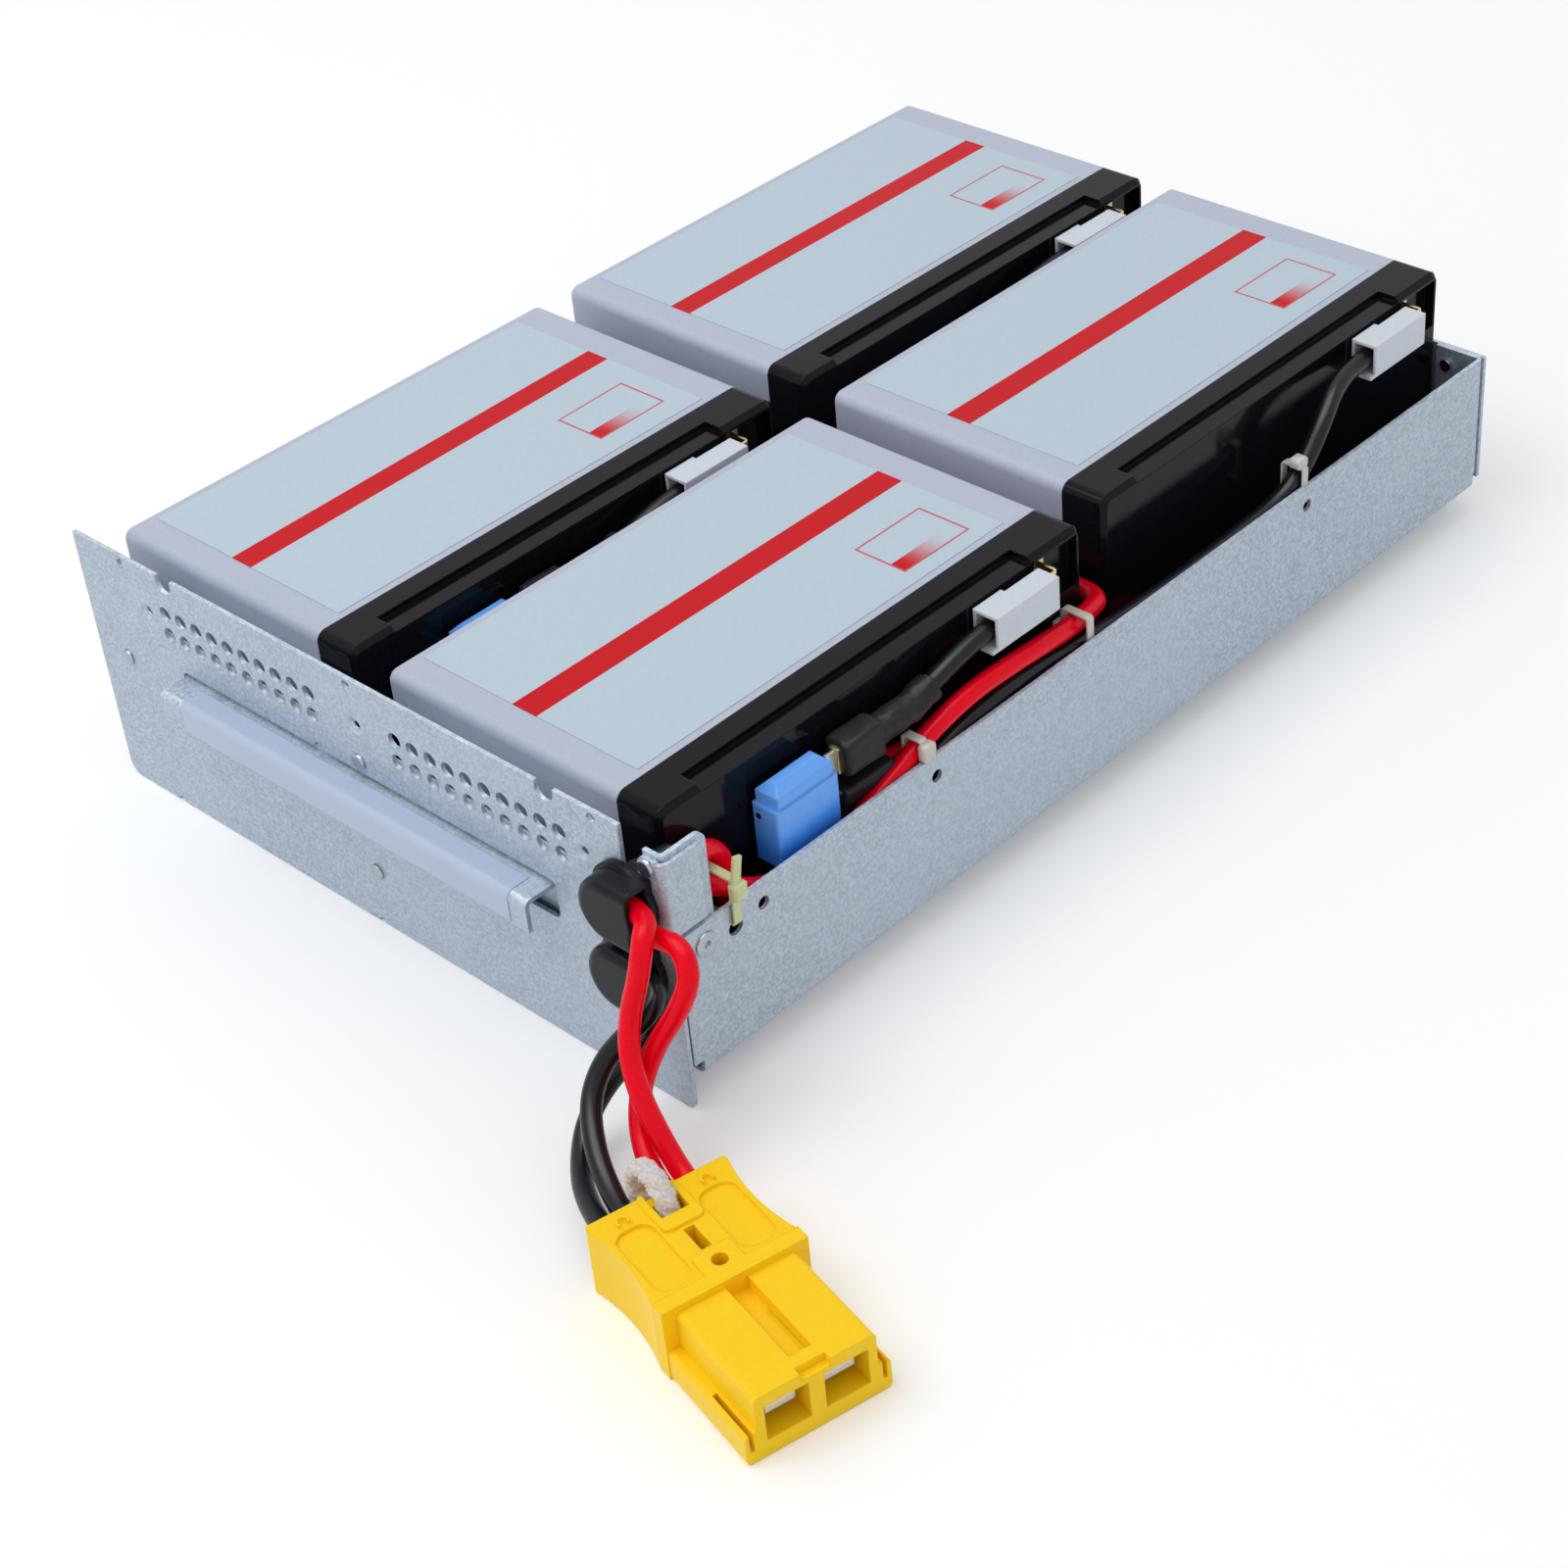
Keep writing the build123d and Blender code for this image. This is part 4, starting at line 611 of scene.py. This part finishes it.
# Which finish each CAD node has, by the start of its name. The first that fits counts.
NODE_SLOTS = [
    ("tray", "galvanised"), ("front_panel", "galvanised"), ("handle_plate", "galvanised"),
    ("handle_sticker", "sticker"), ("corner_bracket", "galvanised"),
    ("panel_rivets", "rivet_zinc"), ("ear_rivet", "rivet_zinc"), ("wall_rivet", "rivet_zinc"),
    ("rear_rivets", "rivet_zinc"), ("case_", "case_grey"), ("lid_", "lid_black"),
    ("terminals_", "brass"), ("lead_cover_", "cover_white"), ("clips_", "brass"),
    ("boot_", "boot_rubber"), ("connector_contacts", "contact_metal"),
    ("connector", "connector_yellow"), ("cotton_loop", "cotton"), ("cable_ties", "tie_white"),
    ("yellow_tie", "tie_yellow"), ("heat_shrinks", "sleeve_black"),
    ("fuse_blades", "contact_metal"), ("fuse_clips", "brass"), ("fuse_", "fuse_blue"),
    ("jumper_lead", "lead_black"), ("link_lead", "lead_red"), ("red_lead", "lead_red"),
    ("black_lead", "lead_black"), ("lead_red", "lead_red"), ("lead_black", "lead_black"),
]


def slot_of(name):
    for start, slot in NODE_SLOTS:
        if name.startswith(start):
            return slot
    raise RuntimeError("no finish is named for the node " + name)


# ---------------------------------------------------------------- shaping


def choose(*objects):
    """These objects alone are selected, the first of them active."""
    if bpy.context.object and bpy.context.object.mode != "OBJECT":
        bpy.ops.object.mode_set(mode="OBJECT")
    bpy.ops.object.select_all(action="DESELECT")
    for item in objects:
        item.select_set(True)
    if objects:
        bpy.context.view_layer.objects.active = objects[0]


def settle(piece, name, slot, *replaced):
    """Gives a finished piece its name, place, body and the finish of its slot, and hides the nodes
    it stands for.
    """
    choose(piece)
    bpy.ops.object.transform_apply(location=True, rotation=True, scale=True)
    piece.name = name
    piece.data.name = name
    piece.data.materials.clear()
    piece.data.materials.append(FINISHES[slot])
    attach(piece, "root")
    if replaced:
        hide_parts(*replaced)
    return piece


def use_modifier(piece, kind, **settings):
    modifier = piece.modifiers.new(kind.lower(), kind)
    for key, value in settings.items():
        setattr(modifier, key, value)
    choose(piece)
    bpy.ops.object.modifier_apply(modifier=modifier.name)


def new_object(name, data):
    """An object of this mesh, curve, camera or lamp, linked into the scene."""
    item = bpy.data.objects.new(name, data)
    bpy.context.collection.objects.link(item)
    return item


def merged_copy(node, name):
    """A copy of a CAD node's mesh with its loose triangles joined."""
    copy = new_object(name, NODES[node].data.copy())
    choose(copy)
    bpy.ops.object.mode_set(mode="EDIT")
    bpy.ops.mesh.select_all(action="SELECT")
    bpy.ops.mesh.remove_doubles(threshold=1e-6)
    bpy.ops.mesh.normals_make_consistent(inside=False)
    bpy.ops.object.mode_set(mode="OBJECT")
    return copy


def add_block(place, size, lean=(0.0, 0.0, 0.0)):
    """A block of this size, leant about its middle, with its place in its mesh."""
    choose()
    bpy.ops.mesh.primitive_cube_add(size=1, location=place)
    block = bpy.context.object
    block.scale = size
    block.rotation_euler = lean
    bpy.ops.object.transform_apply(location=True, rotation=True, scale=True)
    return block


def bevel_new(width, segments, cuts=0):
    """Rounds every edge of a new primitive, then cuts its faces finer if asked."""
    bpy.ops.object.mode_set(mode="EDIT")
    bpy.ops.mesh.bevel(offset=width, segments=segments, affect="EDGES")
    if cuts:
        bpy.ops.mesh.subdivide(number_cuts=cuts)
    bpy.ops.object.mode_set(mode="OBJECT")


def round_curve(name, route, kind, radius, roundness):
    """A curve with a round section and closed ends, of one open spline with these points."""
    data = bpy.data.curves.new(name, "CURVE")
    data.dimensions = "3D"
    data.bevel_depth = radius
    data.bevel_resolution = roundness
    data.use_fill_caps = True
    spline = data.splines.new(kind)
    spline.points.add(len(route) - 1)
    for point, place in zip(spline.points, route):
        point.co = (*place, 1.0)
    return new_object(name, data)


def lead_curve(name, route, radius):
    """A round lead on one smooth spline, with its route as control points."""
    lead = round_curve(name, route, "NURBS", radius, LEAD_ROUND)
    lead.data.resolution_u = LEAD_STEPS
    spline = lead.data.splines[0]
    spline.order_u = 3
    spline.use_endpoint_u = True
    return lead


def shade_smooth(piece, degrees):
    """Smooth shading, except at edges sharper than this."""
    choose(piece)
    bpy.ops.object.shade_smooth_by_angle(angle=math.radians(degrees))


def on_connector(along, across, height):
    """A point of the connector's own plan, in the shared frame."""
    turned = Matrix.Rotation(CONNECTOR_TURN, 3, "Z") @ Vector((along, across, 0.0))
    return CONNECTOR_PLACE + turned + Vector((0.0, 0.0, height))


# ---------------------------------------------------------------- the pieces


class CARTRIDGE_OT_finishes(bpy.types.Operator):
    """Make the finishes and give one to each node of the CAD model"""

    bl_idname = "cartridge.finishes"
    bl_label = "Finishes"

    def execute(self, context):
        build_groups()
        FINISHES.update(build_finishes())
        for name, node in NODES.items():
            finish = FINISHES[name if name in LABELS else slot_of(name)]
            node.data.materials.clear()
            node.data.materials.append(finish)
        return {"FINISHED"}


class CARTRIDGE_OT_free_leads(bpy.types.Operator):
    """The four leads that leave the boots and end in the connector"""

    bl_idname = "cartridge.free_leads"
    bl_label = "Free leads"

    def execute(self, context):
        across = sizes().lead_diameter
        for name, route, long in FREE_LEADS:
            slot = "lead_red" if "red" in name else "lead_black"
            lead = settle(lead_curve(name + "_free", route, across / 2), name + "_free", slot, name)
        return {"FINISHED"}


class CARTRIDGE_OT_held_leads(bpy.types.Operator):
    """The leads that lie in the channels, and the jumpers behind the fuses"""

    bl_idname = "cartridge.held_leads"
    bl_label = "Held leads"

    def execute(self, context):
        for name, route, slot in HELD_LEADS:
            lead = lead_curve(name + "_held", route, sizes().lead_diameter / 2)
            settle(lead, name + "_held", slot, name)
        return {"FINISHED"}


class CARTRIDGE_OT_sleeves(bpy.types.Operator):
    """The shrunk sleeves behind the fuses, lumpy where they gripped the receptacles"""

    bl_idname = "cartridge.sleeves"
    bl_label = "Shrunk sleeves"

    def execute(self, context):
        sleeve = merged_copy("heat_shrinks", "shrunk_sleeves")
        use_modifier(sleeve, "REMESH", mode="VOXEL", voxel_size=sizes().sleeve_voxel)
        self.wrinkle(sleeve)
        settle(sleeve, "shrunk_sleeves", "sleeve_black", "heat_shrinks")
        for side, shift in STRINGS:
            self.add_cuff("upper_cuff_" + side, UPPER_CLIP, UPPER_CUFF, shift)
            self.add_cuff("lower_cuff_" + side, LOWER_CLIP, LOWER_CUFF, shift)
        return {"FINISHED"}

    def add_cuff(self, name, middle, size, shift):
        """The flat end of a sleeve round its receptacle, clear of the lead beside its foot."""
        cuff = add_block(middle + Vector((shift, 0, 0)), size)
        bevel_new(CUFF_ROUNDING, segments=3, cuts=CUFF_CUTS)
        for vertex in cuff.data.vertices:
            if vertex.co.z < LOWER_CLIP.z:
                vertex.co.x = min(vertex.co.x, LEAD_SIDE + shift)
        self.wrinkle(cuff)
        settle(cuff, name, "sleeve_black")

    def wrinkle(self, sleeve):
        """Pushes the skin in and out in lumps, then eases them."""
        reach = sizes().sleeve_lumps
        for vertex in sleeve.data.vertices:
            spot = vertex.co * LUMPS
            push = noise.noise(spot) + SMALL_LUMPS_HEIGHT * noise.noise(spot * SMALL_LUMPS)
            vertex.co += vertex.normal * reach * push
        use_modifier(sleeve, "SMOOTH", factor=0.5, iterations=3)
        shade_smooth(sleeve, 60.0)


class CARTRIDGE_OT_pull_loop(bpy.types.Operator):
    """The cotton pull loop through the connector's bar"""

    bl_idname = "cartridge.pull_loop"
    bl_label = "Cotton pull loop"

    def execute(self, context):
        around = sizes().loop_radius
        choose()
        bpy.ops.mesh.primitive_torus_add(
            major_radius=around, minor_radius=sizes().loop_cord,
            major_segments=LOOP_SEGMENTS, minor_segments=LOOP_SIDES,
        )
        loop = bpy.context.object
        for vertex in loop.data.vertices:
            x, y, z = vertex.co
            turn = math.atan2(y, x)
            out = math.hypot(x, y) - around
            section = math.atan2(z, out)
            grooves = sum(depth * math.cos(count * section - winds * turn)
                          for count, winds, depth in (STRANDS, YARNS))
            fuzz = sum(depth * noise.noise(vertex.co * pitch) for pitch, depth in FUZZ)
            size = 1.0 + grooves + fuzz
            out *= size * LOOP_THIN
            z *= size * LOOP_TALL
            vertex.co = ((around + out) * math.cos(turn), (around + out) * math.sin(turn), z)
        loop.rotation_euler = (math.pi / 2, 0.0, CONNECTOR_TURN)
        loop.location = on_connector(*LOOP_PLACE)
        shade_smooth(loop, 80.0)
        settle(loop, "cotton_pull_loop", "cotton", "cotton_loop")
        return {"FINISHED"}


class CARTRIDGE_OT_drawn_ties(bpy.types.Operator):
    """The milky ties, the rear one drawn tight round its lead, inside the wall"""

    bl_idname = "cartridge.drawn_ties"
    bl_label = "Drawn ties"

    def execute(self, context):
        ties = merged_copy("cable_ties", "drawn_ties")
        for vertex in ties.data.vertices:
            if vertex.co.y > REAR_TIE_FROM:
                vertex.co.x = REAR_TIE_LEFT + (vertex.co.x - REAR_TIE_LEFT) * REAR_TIE_SHARE
        use_modifier(ties, "BEVEL", width=TIE_ROUNDING, segments=2, limit_method="ANGLE",
                     angle_limit=math.radians(50))
        shade_smooth(ties, 40.0)
        settle(ties, "drawn_ties", "tie_white", "cable_ties")
        return {"FINISHED"}


class CARTRIDGE_OT_tie_tail(bpy.types.Operator):
    """The cut tail that stands out of the yellow tie's head"""

    bl_idname = "cartridge.tie_tail"
    bl_label = "Tie tail"

    def execute(self, context):
        tail = add_block(TAIL_PLACE, TAIL_SIZE, TAIL_LEAN)
        bevel_new(TAIL_ROUNDING, segments=2)
        settle(tail, "yellow_tie_tail", "tie_yellow")
        return {"FINISHED"}


class CARTRIDGE_OT_moulding_marks(bpy.types.Operator):
    """The raised open rings on the connector's wire half, and black discs of painted shade for the
    fuses' peepholes
    """

    bl_idname = "cartridge.moulding_marks"
    bl_label = "Moulding marks"

    def execute(self, context):
        for lead, side in (("black", -1), ("red", 1)):
            self.add_ring("open_ring_" + lead, side)
        for side, shift in STRINGS:
            self.add_hole_shade("fuse_peephole_" + side, shift)
        return {"FINISHED"}

    def add_ring(self, name, side):
        """One raised ring on the connector's wire half, with a gap in it."""
        along, across, height = RING_PLACE
        middle = on_connector(along, side * across, height)
        arc = []
        for step in range(RING_STEPS + 1):
            turn = math.radians(RING_START + step * RING_ARC / RING_STEPS) + CONNECTOR_TURN
            arc.append(middle + Vector((math.cos(turn), math.sin(turn), 0)) * RING_RADIUS)
        choose(round_curve(name, arc, "POLY", RING_SECTION, roundness=3))
        bpy.ops.object.convert(target="MESH")
        settle(bpy.context.object, name, "connector_yellow")

    def add_hole_shade(self, name, shift):
        """A black disc on the face of one string's fuse: painted shade standing for its small hole.
        """
        x, y, z = PEEPHOLE_PLACE
        choose()
        bpy.ops.mesh.primitive_cylinder_add(
            vertices=24, radius=PEEPHOLE_RADIUS, depth=PEEPHOLE_DEPTH,
            rotation=(math.pi / 2, 0, 0), location=(x + shift, y, z),
        )
        bevel_new(PEEPHOLE_ROUNDING, segments=2)
        # Painted shade: the disc takes the black leads' finish to stand for the dark inside of the
        # hole.
        settle(bpy.context.object, name, "lead_black")


class CARTRIDGE_OT_stage(bpy.types.Operator):
    """The camera, the pale floor and the plain soft light"""

    bl_idname = "cartridge.stage"
    bl_label = "Stage"

    def execute(self, context):
        settings = context.scene.cartridge_stage
        self.add_camera(settings)
        self.add_floor(settings)
        self.add_light(settings)
        context.scene.view_settings.view_transform = "Standard"
        return {"FINISHED"}

    def add_camera(self, settings):
        data = bpy.data.cameras.new("camera")
        data.lens = settings.focal
        data.sensor_width = SENSOR_WIDTH
        data.shift_x, data.shift_y = CAMERA_SHIFT
        data.clip_start = NEAREST_SEEN
        camera = new_object("camera", data)
        axes = Matrix((CAMERA_RIGHT, CAMERA_UP, CAMERA_BACK)).transposed().to_4x4()
        camera.matrix_world = Matrix.Translation(CAMERA_PLACE) @ axes
        bpy.context.scene.camera = camera

    def add_floor(self, settings):
        choose()
        bpy.ops.mesh.primitive_plane_add(size=settings.floor_size, location=(0, 0, FLOOR_HEIGHT))
        floor = bpy.context.object
        floor.name = "floor"
        material, graph, surface = new_finish("pale_floor")
        set_surface(surface, Base_Color=FLOOR_COLOUR, Roughness=0.9, Specular_IOR_Level=0.1)
        strength = graph.math("MULTIPLY", self.seen(graph), FLOOR_GLOW)
        glow = graph.add("ShaderNodeEmission", Color=WHITE, Strength=strength)
        nodes = material.node_tree.nodes
        both = graph.add("ShaderNodeAddShader")
        graph.put(both.inputs[0], nodes["Principled BSDF"].outputs[0])
        graph.put(both.inputs[1], glow.outputs[0])
        graph.put(nodes["Material Output"].inputs["Surface"], both.outputs[0])
        floor.data.materials.append(material)

    def seen(self, graph):
        """One where the camera, a reflection or clear plastic looks, nought for the light."""
        path = graph.add("ShaderNodeLightPath").outputs
        mirrored = graph.math("MAXIMUM", path["Is Glossy Ray"], path["Is Transmission Ray"])
        return graph.math("MAXIMUM", path["Is Camera Ray"], mirrored)

    def add_light(self, settings):
        """An even white room, a softbox overhead that only reflections see, and one lamp."""
        world = bpy.data.worlds.new("soft_room")
        bpy.context.scene.world = world
        world.use_nodes = True
        graph = Graph(world.node_tree)
        back = world.node_tree.nodes["Background"].inputs
        graph.put(back["Color"], WHITE)
        lift = graph.math("MULTIPLY", self.seen(graph), 1.0 - settings.room_light)
        even = graph.math("ADD", lift, settings.room_light)
        ray = graph.add("ShaderNodeTexCoord").outputs["Generated"]
        height = graph.add("ShaderNodeSeparateXYZ", Vector=ray).outputs["Z"]
        overhead = graph.span(height, *SOFTBOX_EDGE, 0.0, settings.softbox)
        glossy = graph.add("ShaderNodeLightPath").outputs["Is Glossy Ray"]
        bright = graph.math("MULTIPLY", overhead, glossy)
        graph.put(back["Strength"], graph.math("ADD", even, bright))
        lamp = bpy.data.lights.new("soft_lamp", "AREA")
        lamp.energy = settings.lamp_power
        lamp.shape = "DISK"
        lamp.size = LAMP_WIDTH
        holder = new_object("soft_lamp", lamp)
        holder.location = LAMP_PLACE
        holder.rotation_euler = (LAMP_AIM - LAMP_PLACE).to_track_quat("-Z", "Y").to_euler()


# What main() runs, in this order: the finishes first, because the pieces take them.
OPERATORS = [
    CARTRIDGE_OT_finishes,
    CARTRIDGE_OT_stage,
    CARTRIDGE_OT_pull_loop,
    CARTRIDGE_OT_free_leads,
    CARTRIDGE_OT_held_leads,
    CARTRIDGE_OT_sleeves,
    CARTRIDGE_OT_drawn_ties,
    CARTRIDGE_OT_tie_tail,
    CARTRIDGE_OT_moulding_marks,
]


class CARTRIDGE_PT_panel(bpy.types.Panel):
    """Lists the cartridge's pieces, sizes, colours and stage in the sidebar"""

    bl_label = "Battery cartridge"
    bl_idname = "CARTRIDGE_PT_panel"
    bl_space_type = "VIEW_3D"
    bl_region_type = "UI"
    bl_category = "Cartridge"

    def draw(self, context):
        for operator in OPERATORS:
            self.layout.operator(operator.bl_idname)
        for place, group in GROUPS.items():
            for name in group.__annotations__:
                self.layout.prop(getattr(context.scene, place), name)


# Where the scene keeps each group of settings.
GROUPS = {
    "cartridge_sizes": CartridgeSizes,
    "cartridge_colours": CartridgeColours,
    "cartridge_stage": StageSettings,
}
CLASSES = [*GROUPS.values(), *OPERATORS, CARTRIDGE_PT_panel]


def register():
    for item in CLASSES:
        bpy.utils.register_class(item)
    for place, group in GROUPS.items():
        setattr(bpy.types.Scene, place, PointerProperty(type=group))


def unregister():
    for place in GROUPS:
        delattr(bpy.types.Scene, place)
    for item in reversed(CLASSES):
        bpy.utils.unregister_class(item)


def main():
    register()
    for operator in OPERATORS:
        family, name = operator.bl_idname.split(".")
        getattr(getattr(bpy.ops, family), name)()


if __name__ == "__main__":
    main()
